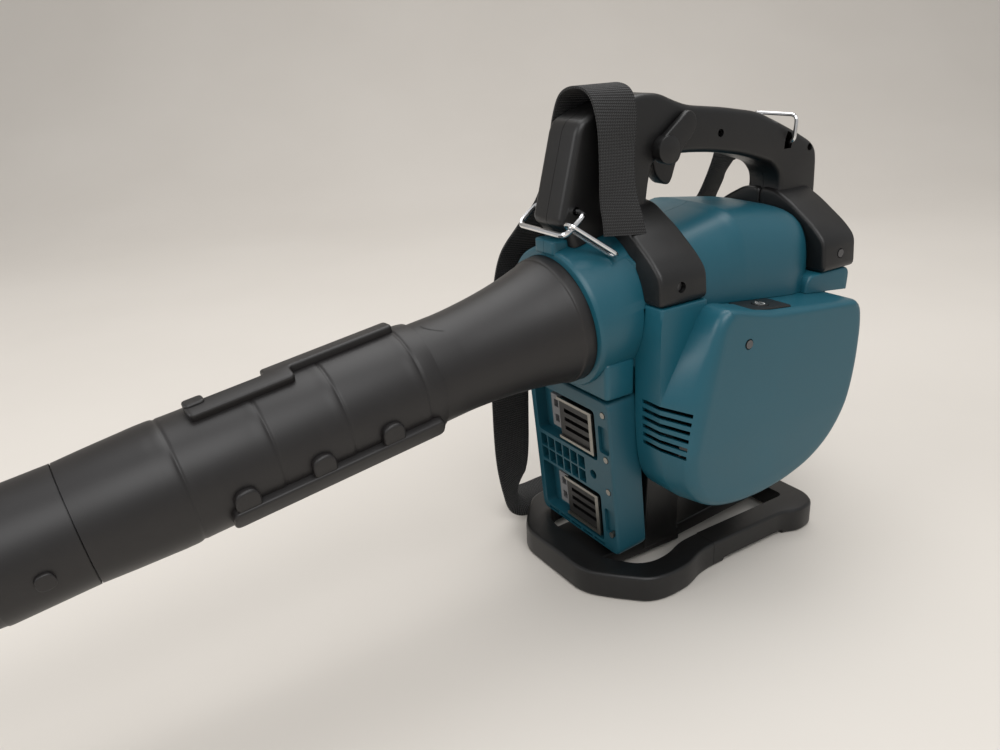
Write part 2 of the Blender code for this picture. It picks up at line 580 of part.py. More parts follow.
def buildBatteryBlock():
    frame = blockFrame()
    low, high = BLOCK_Z0 - BLOCK_FACE_Z, BLOCK_Z1 - BLOCK_FACE_Z
    block = box("battery_housing", (0, BLOCK_Y0, low), (BLOCK_DEPTH, BLOCK_Y1, high), "teal", frame)
    soften(block, 0.0050, 3)
    for label, middle in (("upper", BAY_TOP_Z - BLOCK_FACE_Z), ("lower", BAY_TOP_Z - BLOCK_FACE_Z - BAY_PITCH)):
        recess = box("cut_bay_" + label, (-0.01, -0.0300, middle - BAY_HALF), (0.0100, 0.0500, middle + BAY_HALF),
                     matrix=frame)
        pocket = box("cut_panel_" + label, (-0.01, -0.0455, middle - 0.0120), (0.0030, -0.0335, middle + 0.0120),
                     matrix=frame)
        cut(block, recess, pocket)
        terminal = box("terminal_" + label, (0.0012, -0.0260, middle - 0.0175), (0.0096, 0.0180, middle + 0.0175),
                       "black", frame)
        for z in (-0.0080, 0.0, 0.0080):
            cut(terminal, box("cut_terminal_" + label, (-0.01, -0.0200, middle + z - 0.0018),
                              (0.0050, 0.0120, middle + z + 0.0018), matrix=frame))
        rails = box("contact_rails_" + label, (-0.0008, -0.0265, middle - 0.0190), (0.0008, 0.0185, middle + 0.0190),
                    "steel", frame)
        cut(rails, box("cut_rails_" + label, (-0.01, -0.0225, middle - 0.0165), (0.01, 0.03, middle + 0.0165),
                       matrix=frame))
        spring = box("latch_plate_" + label, (0.0052, 0.0205, middle - 0.0150), (0.0096, 0.0345, middle + 0.0150),
                     "grey", frame)
        for z in (-0.0070, 0.0070):
            cut(spring, box("cut_latch_" + label, (-0.01, 0.0255, middle + z - 0.0035),
                            (0.03, 0.0310, middle + z + 0.0035), matrix=frame))
    cut(block, box("cut_divider_hole", (-0.01, -0.0260, -0.0520), (0.0060, -0.0180, -0.0440), matrix=frame))
    for k, z in enumerate((0.154, 0.1145, 0.0850, 0.0440)):
        at = (z - BLOCK_FACE_Z)
        cut(block, rod("cut_block_screw_" + str(k), (-0.01, -0.0405, at), (0.0060, -0.0405, at), 0.0030, matrix=frame))
        rod("block_screw_" + str(k + 1), (-0.0004, -0.0405, at), (0.0056, -0.0405, at), 0.0026, "steel", segments=12,
            matrix=frame)
    smooth(block)


# ---- stand: a closed loop on the ground in two pieces, with a neck up to the body ----
def buildStand():
    outer = [(-0.0120, -0.0400), (0.0030, -0.0600), (0.0240, -0.0820), (0.0400, -0.0860), (0.0640, -0.0850),
             (0.0820, -0.0780), (0.1000, -0.0760)]
    inner = [(0.1000, -0.0550), (0.0780, -0.0570), (0.0600, -0.0640), (0.0430, -0.0650), (0.0300, -0.0600),
             (0.0120, -0.0360)]
    fullOuter = outer + [(x, -y) for x, y in outer[::-1]]
    fullInner = [(x, y) for x, y in inner[::-1]] + [(x, -y) for x, y in inner]
    front = plate("stand_front", fullOuter, 0.0, STAND_H, "black", plane="XY")
    cut(front, plate("cut_stand_front", [(x, y) for x, y in fullInner[:6]] + [(0.12, -0.0550), (0.12, 0.0550)]
                     + [(x, y) for x, y in fullInner[6:]], -0.01, 0.05, plane="XY"))
    tongue = plate("stand_tongue", [(0.0, -0.030), (0.0996, -0.034), (0.0996, 0.034), (0.0, 0.030)], 0.0060, 0.0190,
                   plane="XY")
    neck = plate("stand_neck", [(0.0600, 0.010), (0.0996, 0.010), (0.0996, 0.1050), (0.0640, 0.1200)], -0.0340,
                 0.0340)
    cut(neck, bodyLoft("cut_neck_body", GAP))
    join(front, tongue, neck)
    smooth(soften(front, 0.0030, 2, 50))
    outer = [(0.1004, -0.0760), (0.1850, -0.0760), (0.2000, -0.0830), (0.2200, -0.0800), (0.2290, -0.0660)]
    inner = [(0.2080, -0.0560), (0.1950, -0.0560), (0.1004, -0.0550)]
    rear = plate("stand_rear", outer + [(x, -y) for x, y in outer[::-1]], 0.0, STAND_H, "black", plane="XY")
    cut(rear, plate("cut_stand_rear", [(0.09, -0.0550)] + inner[::-1] + [(x, -y) for x, y in inner]
                    + [(0.09, 0.0550)], -0.01, 0.05, plane="XY"),
        box("cut_rail_arch", (0.1120, -0.1, -0.01), (0.1860, 0.1, 0.0045)),
        box("cut_rear_arch", (0.1900, -0.0600, -0.01), (0.2600, 0.0600, 0.0045)))
    spine = plate("stand_spine", [(0.1004, -0.030), (0.2100, -0.022), (0.2100, 0.022), (0.1004, 0.030)], 0.0060,
                  0.0190, plane="XY")
    strut = plate("stand_strut", [(0.1650, 0.010), (0.1950, 0.010), (0.1900, 0.1250), (0.1600, 0.1200)], -0.0220,
                  0.0220)
    cut(strut, bodyLoft("cut_strut_body", GAP))
    join(rear, spine, strut)
    smooth(soften(rear, 0.0030, 2, 50))
    for k, (x, y) in enumerate(((0.085, -0.024), (0.085, 0.024))):
        rod("stand_screw_" + str(k + 1), (x, y, 0.0030), (x, y, 0.0056), 0.0040, "steel", segments=12)


# ---- blower tube: pipe, sliding sleeve and end nozzle ----
def shell(outerLine, wall):
    """Closed wall profile: down the outside from the far end, then back up the inside."""
    down = outerLine[::-1]
    return down + [(r - wall, s) for r, s in outerLine]


def buildTube():
    frame = tubeFrame()
    line = [(PIPE_R, -0.0280), (PIPE_R, 0.0050), (0.0482, 0.0110), (0.0452, 0.0240), (0.0424, 0.0380),
            (0.0400, 0.0540), (0.0381, 0.0720), (PIPE_NECK_R, 0.0920), (PIPE_NECK_R, 0.2450), (PIPE_NECK_R, PIPE_END_S)]
    pipe = turned("outlet_pipe", shell(line, TUBE_WALL), "black", frame)
    for k, angle in enumerate((TOP_CHANNEL_ANGLE, LOW_CHANNEL_ANGLE)):
        join(pipe, tubeBlock("pipe_peg_" + str(k), 0.2580, 0.2650, PIPE_NECK_R - 0.0010, 0.0425, angle, 0.0035))
    smooth(pipe)

    line = [(0.0396, SLEEVE_START_S), (0.0400, 0.1300), (0.0400, 0.2850), (0.0406, 0.2980), (0.0401, 0.3120),
            (0.0386, 0.3350), (0.0380, SLEEVE_END_S), (0.0362, SLEEVE_END_S + GAP), (0.0362, 0.3950)]
    inside = [(SLEEVE_BORE_R, SLEEVE_START_S), (SLEEVE_BORE_R, 0.3000), (0.0346, 0.3500), (0.0346, 0.3950)]
    sleeve = turned("nozzle_sleeve", line[::-1] + inside, "black", frame)
    for k, (s0, s1, angle, width) in enumerate(((0.1310, 0.2730, TOP_CHANNEL_ANGLE, 0.0090),
                                                (0.1250, 0.2730, LOW_CHANNEL_ANGLE, 0.0090))):
        join(sleeve, tubeBlock("channel_" + str(k), s0, s1, 0.0385, 0.0465, angle, width))
    for k, s in enumerate(CHANNEL_POCKETS_S):
        join(sleeve, tubeBlock("pocket_" + str(k), s - 0.0085, s + 0.0085, 0.0370, 0.0450,
                               LOW_CHANNEL_ANGLE - radians(16), 0.0080))
    for k, angle in enumerate((TOP_CHANNEL_ANGLE, LOW_CHANNEL_ANGLE)):
        cut(sleeve, tubeBlock("cut_channel_" + str(k), 0.1400, 0.2700, 0.0330, 0.0440, angle, 0.0050))
    cut(sleeve, turned("cut_sleeve_bore", [(0, 0.2720), (SLEEVE_BORE_R - 0.00001, 0.2720),
                                           (SLEEVE_BORE_R - 0.00001, 0.1000), (0, 0.1000)], None, frame, closed=False))
    smooth(sleeve)

    line = [(0.0383, SLEEVE_END_S + 2 * GAP), (0.0383, 0.4000), (0.0374, 0.4030), (0.0352, 0.4500), (0.0330, 0.5100),
            (0.0316, 0.5600), (0.0326, 0.5640), (0.0326, TIP_END_S)]
    inside = [(0.0367, SLEEVE_END_S + 2 * GAP), (0.0367, 0.3965), (0.0352, 0.4030), (0.0336, 0.4500),
              (0.0314, 0.5100), (0.0300, 0.5600), (0.0306, TIP_END_S)]
    tip = turned("nozzle_tip", line[::-1] + inside, "black", frame)
    join(tip, rod("tip_peg", (0.0372, 0, 0.3740), (0.0412, 0, 0.3740), 0.0055, segments=12,
                  matrix=frame @ Matrix.Rotation(-radians(98), 4, "Z")))
    smooth(tip)


buildBatteryBlock()
buildStand()
buildTube()


# ---- fan and motor ----
def buildFan():
    frame = alongFan(0.0)
    fan = turned("impeller", [(0.0740, -0.0215), (0.0740, -0.0240), (0.0045, -0.0240), (0.0045, -0.0020),
                              (0.0140, -0.0060), (0.0180, -0.0215)], "black", frame)
    for k in range(FAN_BLADES):
        turn = frame @ Matrix.Rotation(2 * pi * k / FAN_BLADES, 4, "Z") @ Matrix.Translation((0.046, 0, 0)) \
            @ Matrix.Rotation(radians(-28), 4, "Z")
        join(fan, box("blade_" + str(k), (-0.0270, -0.0010, -0.0225), (0.0270, 0.0010, 0.0220), matrix=turn))
    rod("motor_shaft", (0, 0, -0.0950), (0, 0, -0.0026), 0.0040, "steel", matrix=frame)
    turned("fan_nut", [(0.0075, 0.0040), (0.0075, -0.0016), (0.0042, -0.0016), (0.0042, 0.0040)], "steel", frame,
           steps=6)
    turned("motor_rotor", [(0.0180, -0.0480), (0.0180, -0.0780), (0.0043, -0.0780), (0.0043, -0.0480)], "steel",
           frame, steps=24)
    turned("motor_stator", [(0.0325, -0.0460), (0.0325, -0.0800), (0.0190, -0.0800), (0.0190, -0.0460)], "copper",
           frame, steps=24)
    turned("motor_bracket", [(0.0360, -0.0335), (0.0360, -0.0940), (0.0118, -0.0940), (0.0118, -0.0918),
                             (0.0332, -0.0918), (0.0332, -0.0360), (0.0118, -0.0360), (0.0118, -0.0335)],
           "grey", frame, steps=24)
    for name, y0, y1 in (("front_bearing", -0.0430, -0.0345), ("rear_bearing", -0.0935, -0.0860)):
        turned(name, [(0.0112, y1), (0.0112, y0), (0.0044, y0), (0.0044, y1)], "steel", frame, steps=20)
    box("controller_board", (0.0850, -0.0720, 0.0890), (0.1650, -0.0700, 0.1400), "board")


# ---- inlet cover on the +Y side ----
def buildInletCover():
    frame = alongFan(0.0)
    profile = [(0, 0.0900), (0.0420, 0.0900), (0.0600, 0.0840), (INLET_COVER_R, 0.0760), (INLET_COVER_R, 0.0590),
               (INLET_COVER_R - 0.0025, 0.0590), (INLET_COVER_R - 0.0025, 0.0750), (0.0590, 0.0815), (0.0415, 0.0874),
               (0, 0.0874)]
    cover = turned("inlet_cover", profile, "black", frame, closed=False)
    for k in range(-3, 4):
        cut(cover, box("cut_grille_" + str(k + 3), (FAN_X - 0.048, 0.078, FAN_Z + k * 0.0125 - 0.0034),
                       (FAN_X + 0.048, 0.100, FAN_Z + k * 0.0125 + 0.0034)))
    knuckle = rod("inlet_knuckle", (HINGE_X, HINGE_Y, EAR_Z[0][1] + GAP), (HINGE_X, HINGE_Y, EAR_Z[1][0] - GAP), 0.004)
    arm = box("inlet_knuckle_arm", (HINGE_X + 0.001, HINGE_Y - 0.002, EAR_Z[0][1] + GAP),
              (HINGE_X + 0.012, HINGE_Y + 0.004, EAR_Z[1][0] - GAP))
    tab = box("inlet_tab", (FAN_X + INLET_COVER_R - 0.004, 0.0595, FAN_Z - 0.0090),
              (FAN_X + INLET_COVER_R + 0.0165, 0.0650, FAN_Z + 0.0090))
    join(cover, knuckle, arm, tab)
    cut(cover, rod("cut_inlet_pin", (HINGE_X, HINGE_Y, 0.15), (HINGE_X, HINGE_Y, 0.22), 0.0022),
        rod("cut_knob", (KNOB_X, 0.050, FAN_Z), (KNOB_X, 0.075, FAN_Z), 0.0030))
    smooth(cover)
    rod("inlet_hinge_pin", (HINGE_X, HINGE_Y, EAR_Z[0][0] + 0.001), (HINGE_X, HINGE_Y, EAR_Z[1][1] - 0.001), 0.0019,
        "steel", segments=12)
    knob = rod("inlet_knob", (KNOB_X, 0.0654, FAN_Z), (KNOB_X, 0.0760, FAN_Z), 0.0078, "black", segments=20)
    join(knob, box("knob_bar", (KNOB_X - 0.0020, 0.0750, FAN_Z - 0.0075), (KNOB_X + 0.0020, 0.0800, FAN_Z + 0.0075)),
         rod("knob_stem", (KNOB_X, 0.0600, FAN_Z), (KNOB_X, 0.0660, FAN_Z), 0.0027))


buildFan()
buildInletCover()


# ---- strap rings, hook, strap and adjuster ----
def ringPoints(pivot, away, halfWidth, depth, corner, count=5):
    """Rounded rectangle: one side on the pivot line along Y, the rest reaching away from it."""
    corners = ((-1, 1), (1, 1), (1, 0), (-1, 0))
    points = []
    for k, (sy, far) in enumerate(corners):
        cy, cu = sy * (halfWidth - corner), depth - corner if far else corner
        start = (180, 90, 0, 270)[k]
        for a in np.linspace(start, start - 90, count):
            y, u = cy + corner * cos(radians(a)), cu + corner * sin(radians(a))
            points.append(Vector(pivot) + Vector((0, y, 0)) + Vector(away) * u)
    return points


def spline(points, perGap):
    """Smooth curve through the points (Catmull-Rom), as an array."""
    p = np.array(points, float)
    p = np.vstack([2 * p[0] - p[1], p, 2 * p[-1] - p[-2]])
    t = np.linspace(0, 1, perGap, endpoint=False)[:, None]
    out = [0.5 * (2 * p[k] + (p[k + 1] - p[k - 1]) * t + (2 * p[k - 1] - 5 * p[k] + 4 * p[k + 1] - p[k + 2]) * t ** 2
                  + (3 * p[k] - p[k - 1] - 3 * p[k + 1] + p[k + 2]) * t ** 3) for k in range(1, len(p) - 2)]
    return np.vstack(out + [p[-2:-1]])


STRAP_ROUTE = [  # x, y, z, heading of the webbing's width from +X towards +Y, in degrees
    (0.0285, -0.0445, 0.2865, 0), (0.0300, -0.0395, 0.2995, 5), (0.0320, -0.0315, 0.3180, 10),
    (0.0335, -0.0280, 0.3420, 12), (0.0350, -0.0258, 0.3670, 6), (0.0365, -0.0170, 0.3850, 0),
    (0.0370, 0.0000, 0.3900, 0), (0.0365, 0.0165, 0.3845, 0), (0.0350, 0.0242, 0.3670, 0),
    (0.0320, 0.0275, 0.3380, 0), (0.0280, 0.0380, 0.3080, 0), (0.0250, 0.0620, 0.2830, 0),
    (0.0200, 0.0820, 0.2560, 0), (0.0150, 0.0880, 0.2200, 0), (0.0090, 0.0860, 0.1700, 0),
    (0.0050, 0.0820, 0.1200, 2), (0.0040, 0.0810, 0.0750, 8), (0.0070, 0.0840, 0.0440, 25),
    (0.0160, 0.0950, 0.0200, 50), (0.0400, 0.1100, 0.0068, 76), (0.0750, 0.1180, 0.0032, 88),
    (0.1150, 0.1180, 0.0026, 90), (0.1550, 0.1180, 0.0030, 92), (0.1880, 0.1200, 0.0060, 84),
    (0.2160, 0.1240, 0.0180, 66), (0.2300, 0.1220, 0.0400, 42), (0.2360, 0.1180, 0.0750, 20),
    (0.2370, 0.1130, 0.1250, 8), (0.2360, 0.1060, 0.1800, 4), (0.2330, 0.0960, 0.2300, 6),
    (0.2270, 0.0780, 0.2680, 14), (0.2180, 0.0580, 0.2920, 20), (0.2175, 0.0470, 0.3110, 14), (0.2215, 0.0440, 0.3240, 6)]


def strapPath(perGap):
    """Middle line and width direction of the webbing; the width stays square to the line."""
    data = spline(STRAP_ROUTE, perGap)
    middle, heading = data[:, :3], np.radians(data[:, 3])
    along = np.gradient(middle, axis=0)
    along /= np.linalg.norm(along, axis=1)[:, None]
    across = np.stack([np.cos(heading), np.sin(heading), np.zeros(len(data))], 1)
    across -= along * (across * along).sum(1)[:, None]
    across /= np.linalg.norm(across, axis=1)[:, None]
    return middle, across, np.cross(along, across)


def buildStrap():
    wire("front_ring", ringPoints((RING_X, 0, RING_Z), FRONT_RING_AWAY, 0.0290, 0.0230, 0.0060), 0.0020, "chrome",
         cyclic=True)
    wire("rear_ring", ringPoints((REAR_RING_X, 0, REAR_RING_Z), REAR_RING_AWAY, 0.0230, 0.0215, 0.0050), 0.0016,
         "chrome", cyclic=True)
    frontHeld = Vector((RING_X, -0.0290, RING_Z)) + Vector(FRONT_RING_AWAY) * 0.0150
    rearHeld = Vector((REAR_RING_X, 0.0230, REAR_RING_Z)) + Vector(REAR_RING_AWAY) * 0.0085
    for name, held, end, bar, past, thick in (
            ("snap_hook_front", frontHeld, Vector((0.0170, -0.0405, 0.2795)), Vector(FRONT_RING_AWAY), 0.0052, 0.0015),
            ("snap_hook_rear", rearHeld, Vector((0.2225, 0.0400, 0.3290)), Vector(REAR_RING_AWAY), 0.0040, 0.0012)):
        along = (held - end).normalized()
        side = along.cross(bar).normalized()
        halfWidth = 0.0052
        straight = (held - end).length / 2 + past - halfWidth
        middle = (held + end) / 2
        loop = [middle + along * (straight + halfWidth * cos(radians(a))) + side * halfWidth * sin(radians(a))
                for a in range(90, -91, -30)]
        loop += [middle - along * (straight + halfWidth * cos(radians(a))) - side * halfWidth * sin(radians(a))
                 for a in range(90, -91, -30)]
        wire(name, loop, thick, "chrome", cyclic=True)
    middleLine, across, out = strapPath(3)
    w, t = across * STRAP_W / 2, out * STRAP_T / 2
    corners = np.stack([middleLine + w + t, middleLine - w + t, middleLine - w - t, middleLine + w - t], 1)
    skip = slice(STRAP_END_SKIP, len(corners) - STRAP_END_SKIP)
    loft("strap", list(corners[skip]), "webbing")


buildStrap()
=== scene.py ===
import json
from math import cos, pi, radians, sin, tan

import bmesh
import bpy
import numpy as np
from mathutils import Matrix, Vector

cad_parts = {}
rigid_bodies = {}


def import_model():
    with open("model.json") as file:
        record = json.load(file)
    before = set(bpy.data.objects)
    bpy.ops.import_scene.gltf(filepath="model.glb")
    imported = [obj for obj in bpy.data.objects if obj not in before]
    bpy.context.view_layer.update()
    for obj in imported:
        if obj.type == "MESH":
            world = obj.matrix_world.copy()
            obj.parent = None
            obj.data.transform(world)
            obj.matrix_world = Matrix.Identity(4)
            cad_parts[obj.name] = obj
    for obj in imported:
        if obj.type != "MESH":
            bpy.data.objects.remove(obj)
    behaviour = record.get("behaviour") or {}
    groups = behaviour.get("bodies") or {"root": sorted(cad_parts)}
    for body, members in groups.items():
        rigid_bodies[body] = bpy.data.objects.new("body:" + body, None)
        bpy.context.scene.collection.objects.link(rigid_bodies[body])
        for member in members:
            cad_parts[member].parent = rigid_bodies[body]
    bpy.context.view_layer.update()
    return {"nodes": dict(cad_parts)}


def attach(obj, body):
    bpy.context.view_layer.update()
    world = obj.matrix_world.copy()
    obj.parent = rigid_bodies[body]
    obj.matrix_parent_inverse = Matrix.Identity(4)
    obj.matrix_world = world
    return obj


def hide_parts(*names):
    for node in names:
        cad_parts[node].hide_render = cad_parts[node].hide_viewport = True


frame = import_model()
nodes = frame["nodes"]
mm = 0.001

# camera
view = {"place": (-0.3634, -0.5002, 0.4272), "turn": -31.656, "down": 21.863, "roll": -2.932, "lens": 30.6}


def makeCamera():
    turn, down, roll = (radians(view[k]) for k in ("turn", "down", "roll"))
    right = Vector((cos(turn), sin(turn), 0))
    forward = Vector((-sin(turn) * cos(down), cos(turn) * cos(down), -sin(down)))
    up = right.cross(forward)
    side = right * cos(roll) + up * sin(roll)
    top = -right * sin(roll) + up * cos(roll)
    data = bpy.data.cameras.new("camera")
    data.lens, data.sensor_width = view["lens"], 36
    data.clip_start = 0.01
    camera = bpy.data.objects.new("camera", data)
    bpy.context.scene.collection.objects.link(camera)
    camera.matrix_world = Matrix.Translation(view["place"]) @ Matrix((side, top,
                                                                      -forward)).transposed().to_4x4()
    bpy.context.scene.camera = camera


makeCamera()
print("camera ready")


# A node socket that can be used in sums.
class Sock:
    def __init__(self, tree, socket):
        self.tree, self.socket = tree, socket

    def maths(self, operation, other, swap=False):
        node = self.tree.nodes.new("ShaderNodeMath")
        node.operation = operation
        pair = (other, self) if swap else (self, other)
        for place, value in zip(node.inputs, pair):
            if isinstance(value, Sock):
                self.tree.links.new(value.socket, place)
            elif value is not None:
                place.default_value = value
        return Sock(self.tree, node.outputs[0])

    def __add__(self, other):

        return self.maths("ADD", other)

    def __radd__(self, other):
        return self.maths("ADD", other, True)

    def __mul__(self, other):
        return self.maths("MULTIPLY", other)

    def __rmul__(self, other):
        return self.maths("MULTIPLY", other, True)


# A Principled material under construction.
class Finish:
    def __init__(self, name):
        self.material = bpy.data.materials.new(name)
        self.material.use_nodes = True
        self.tree = self.material.node_tree
        self.shader = self.tree.nodes["Principled BSDF"]

    def node(self, kind, settings=None, output=0, **sockets):
        made = self.tree.nodes.new(kind)
        for key, value in (settings or {}).items():
            setattr(made, key, value)
        for key, value in sockets.items():
            numbered = key[0] == "i" and key[1:].isdigit()
            place = made.inputs[int(key[1:])] if numbered else made.inputs[key.replace("_", " ")]
            if isinstance(value, Sock):
                self.tree.links.new(value.socket, place)
            else:
                place.default_value = value
        return Sock(self.tree, made.outputs[output])

    def set(self, **sockets):
        for key, value in sockets.items():
            place = self.shader.inputs[key.replace("_", " ")]
            if isinstance(value, Sock):
                self.tree.links.new(value.socket, place)
            else:
                place.default_value = value
        return self

    def noise(self, scale, detail, stretch=(1, 1, 1), roughness=0.5):
        where = self.node("ShaderNodeTexCoord", output=3)
        where = self.node("ShaderNodeMapping", i0=where, i3=stretch)
        return self.node("ShaderNodeTexNoise", Vector=where, Scale=scale, Detail=detail, Roughness=roughness)

    def mix(self, factor, first, second):
        return self.node("ShaderNodeMix", {"data_type": "RGBA"}, output=2, i0=factor, i6=first, i7=second)

    def bump(self, height, strength, distance):
        return self.node("ShaderNodeBump", Height=height, Strength=strength, Distance=distance)


def rgb(*values):
    return (*values, 1.0)


# Plastic with a fine spark-eroded grain, soft patches of shine and a thin uneven film of dust and scuffs.
def mouldedPlastic(name, colour, lighter, roughness, grain, dust=0.12, spec=0.5):
    made = Finish(name)
    patches = made.noise(14.0, 4.0)
    fine = made.noise(1500.0, 2.0)
    scuffs = made.noise(60.0, 8.0, (1.0, 1.0, 0.25), 0.7)
    film = made.node("ShaderNodeMapRange", Value=scuffs, i1=0.52, i2=0.78, i3=0.0, i4=dust)
    base = made.mix(patches, rgb(*colour), rgb(*[c * 1.18 for c in colour]))
    base = made.mix(film, base, rgb(*lighter))
    made.set(Base_Color=base, Roughness=patches * 0.10 + film * 0.5 + (roughness - 0.05),
             Normal=made.bump(fine, grain, 0.0002), Specular_IOR_Level=spec)
    return made.material


finishes = {
    "teal": mouldedPlastic("tealPlastic", (0.0060, 0.0740, 0.1060), (0.035, 0.13, 0.17), 0.36, 0.16, 0.10),
    "tealDark": mouldedPlastic("tealPlasticDark", (0.0055, 0.0600, 0.0860), (0.035, 0.12, 0.15), 0.42, 0.16,
                               0.12),
    "black": mouldedPlastic("blackPlastic", (0.0042, 0.0040, 0.0041), (0.030, 0.028, 0.027), 0.40, 0.26,
                            0.10),
    "tube": mouldedPlastic("tubePlastic", (0.0092, 0.0080, 0.0080), (0.040, 0.036, 0.035), 0.44, 0.14, 0.10),
    "grey": mouldedPlastic("greyPlastic", (0.16, 0.16, 0.165), (0.3, 0.3, 0.3), 0.5, 0.2),
    "board": mouldedPlastic("circuitBoard", (0.015, 0.12, 0.05), (0.1, 0.2, 0.1), 0.45, 0.1),
}


# Bare metal with fine handling marks that vary its shine.
def metal(name, colour, roughness, streak=0.08):
    made = Finish(name)
    marks = made.noise(300.0, 4.0, (1.0, 1.0, 0.15))
    made.set(Base_Color=made.mix(marks, rgb(*colour), rgb(*[c * 0.8 for c in colour])), Metallic=1.0,
             Roughness=marks * streak + roughness)
    return made.material


finishes["chrome"] = metal("chromePlate", (0.80, 0.80, 0.81), 0.12)
finishes["steel"] = metal("screwSteel", (0.16, 0.16, 0.165), 0.38)
finishes["contact"] = metal("contactMetal", (0.34, 0.33, 0.30), 0.30)
finishes["pale"] = mouldedPlastic("palePrint", (0.62, 0.62, 0.60), (0.5, 0.5, 0.48), 0.5, 0.05)
# painted shade: dark finish for the strip that stands in for the shade inside the cut alignment arc on the
# pipe
finishes["shadeStrip"] = mouldedPlastic("paintedGrooveShade", (0.002, 0.002, 0.002), (0.01, 0.01, 0.01), 0.6, 0.05)
finishes["copper"] = metal("copperWire", (0.70, 0.32, 0.15), 0.35)


# Nylon webbing: square ribs across the width, each crossed by fine slanted yarns, from the strap's own UV
# map.
def webbingFinish():
    made = Finish("strapWebbing")
    uv = made.node("ShaderNodeUVMap", {"uv_map": "weave"})
    along = made.node("ShaderNodeSeparateXYZ", Vector=uv)
    over = made.node("ShaderNodeSeparateXYZ", output=1, Vector=uv)
    rib = (along * (2 * pi / 0.0021)).maths("SINE", None)
    yarn = ((over * (2 * pi / 0.0017)) + rib * 1.2).maths("SINE", None)
    height = rib * 0.6 + yarn * 0.4
    wear = made.noise(90.0, 5.0)
    # Colour: partly painted shade, with the weave's grooves darker and its raised ribs and yarns lighter by
    # their height, and partly random wear.
    base = made.mix(height * 0.35 + 0.4 + wear * 0.2, rgb(0.0030, 0.0030, 0.0033), rgb(0.020, 0.0195, 0.0195))
    made.set(Base_Color=base, Roughness=0.86, Sheen_Weight=0.12, Sheen_Roughness=0.4,
             Normal=made.bump(height, 0.75, 0.0006))
    return made.material


finishes["webbing"] = webbingFinish()


lamps = {"keyLamp": ((-0.45, -1.15, 1.75), 17, 1.2), "topLamp": ((0.45, 0.55, 2.1), 26, 1.8),
         "sideLamp": ((-1.6, 0.3, 1.1), 9, 1.0)}  # place, power and size


def makeStage():
    away, side = np.array((0.525, 0.851, 0)), np.array((0.851, -0.525, 0))
    a = np.linspace(0, pi / 2, 24)
    run = np.concatenate([[-3.0], 1.4 + 1.5 * np.sin(a), [2.9]])
    rise = np.concatenate([[0.0], 1.5 * (1 - np.cos(a)), [5.0]])
    grid = [[tuple(away * d + side * w + (0, 0, h)) for w in (-5.0, 5.0)] for d, h in zip(run, rise)]
    floor = bpy.data.meshes.new("floor")
    floor.from_pydata(np.array(grid).reshape(-1, 3).tolist(), [],
                      [(2 * k, 2 * k + 1, 2 * k + 3, 2 * k + 2) for k in range(len(run) - 1)])
    floor.shade_smooth()
    obj = bpy.data.objects.new("floor", floor)
    bpy.context.scene.collection.objects.link(obj)
    made = Finish("floorPaper")
    cloud = made.noise(2.0, 4.0)
    made.set(Base_Color=made.mix(cloud, rgb(0.62, 0.58, 0.53), rgb(0.70, 0.66, 0.61)), Roughness=0.75)
    floor.materials.append(made.material)
    world = bpy.data.worlds.new("studio")
    bpy.context.scene.world = world
    world.use_nodes = True
    tree = world.node_tree
    shade = tree.nodes["Background"]
    shade.inputs["Strength"].default_value = 1.0
    path = tree.nodes.new("ShaderNodeLightPath")
    mixer = tree.nodes.new("ShaderNodeMix")
    mixer.data_type = "RGBA"
    mixer.inputs[6].default_value = (0.50, 0.50, 0.50, 1)
    mixer.inputs[7].default_value = (0.66, 0.61, 0.55, 1)
    tree.links.new(path.outputs["Is Camera Ray"], mixer.inputs[0])
    tree.links.new(mixer.outputs[2], shade.inputs["Color"])
    for name, (place, power, size) in lamps.items():
        lamp = bpy.data.lights.new(name, "AREA")
        lamp.energy, lamp.size = power, size
        obj = bpy.data.objects.new(name, lamp)
        bpy.context.scene.collection.objects.link(obj)
        obj.location = place
        obj.rotation_euler = (Vector((0.0, 0.0, 0.2)) - Vector(place)).to_track_quat("-Z", "Y").to_euler()
    bpy.context.scene.view_settings.view_transform = "Standard"


makeStage()
print("stage ready")


# mesh makers
def meshPiece(name, points, faces, finish, body="chassis", smoothAngle=40, uv=None):
    mesh = bpy.data.meshes.new(name)
    mesh.from_pydata(np.asarray(points, float).reshape(-1, 3).tolist(), [],
                     faces if isinstance(faces, list) else faces.tolist())
    if uv is not None:
        layer = mesh.uv_layers.new(name="weave")
        loops = np.empty(len(mesh.loops), np.int32)
        mesh.loops.foreach_get("vertex_index", loops)
        layer.data.foreach_set("uv", uv[loops].ravel())
    mesh.shade_smooth()
    mesh.set_sharp_from_angle(angle=radians(smoothAngle))
    mesh.materials.append(finishes[finish])
    obj = bpy.data.objects.new(name, mesh)
    bpy.context.scene.collection.objects.link(obj)
    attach(obj, body)
    return obj


# Quads between neighbours of a grid, wrapped round where a direction is closed.
def gridFaces(rows, columns, closeRows, closeColumns):
    r = np.arange(rows if closeRows else rows - 1)[:, None]
    c = np.arange(columns if closeColumns else columns - 1)[None, :]
    r2, c2 = (r + 1) % rows, (c + 1) % columns
    return np.stack([r * columns + c, r * columns + c2, r2 * columns + c2, r2 * columns + c],
                    -1).reshape(-1, 4)


# Catmull-Rom curve through the points: each stretch is the cubic whose ends have the slope of their
# neighbours' chord.
def smoothLine(points, perGap):
    p = np.asarray(points, float)
    p = np.vstack([2 * p[0] - p[1], p, 2 * p[-1] - p[-2]])
    t = np.linspace(0, 1, perGap, endpoint=False)[:, None]
    a, b, c, d = p[:-3, None], p[1:-2, None], p[2:-1, None], p[3:, None]
    curve = 0.5 * (2 * b + (c - a) * t + (2 * a - 5 * b + 4 * c - d) * t ** 2
                   + (3 * b - a - 3 * c + d) * t ** 3)
    curve = curve.reshape(-1, p.shape[1])
    return np.vstack([curve, p[-2:-1]])


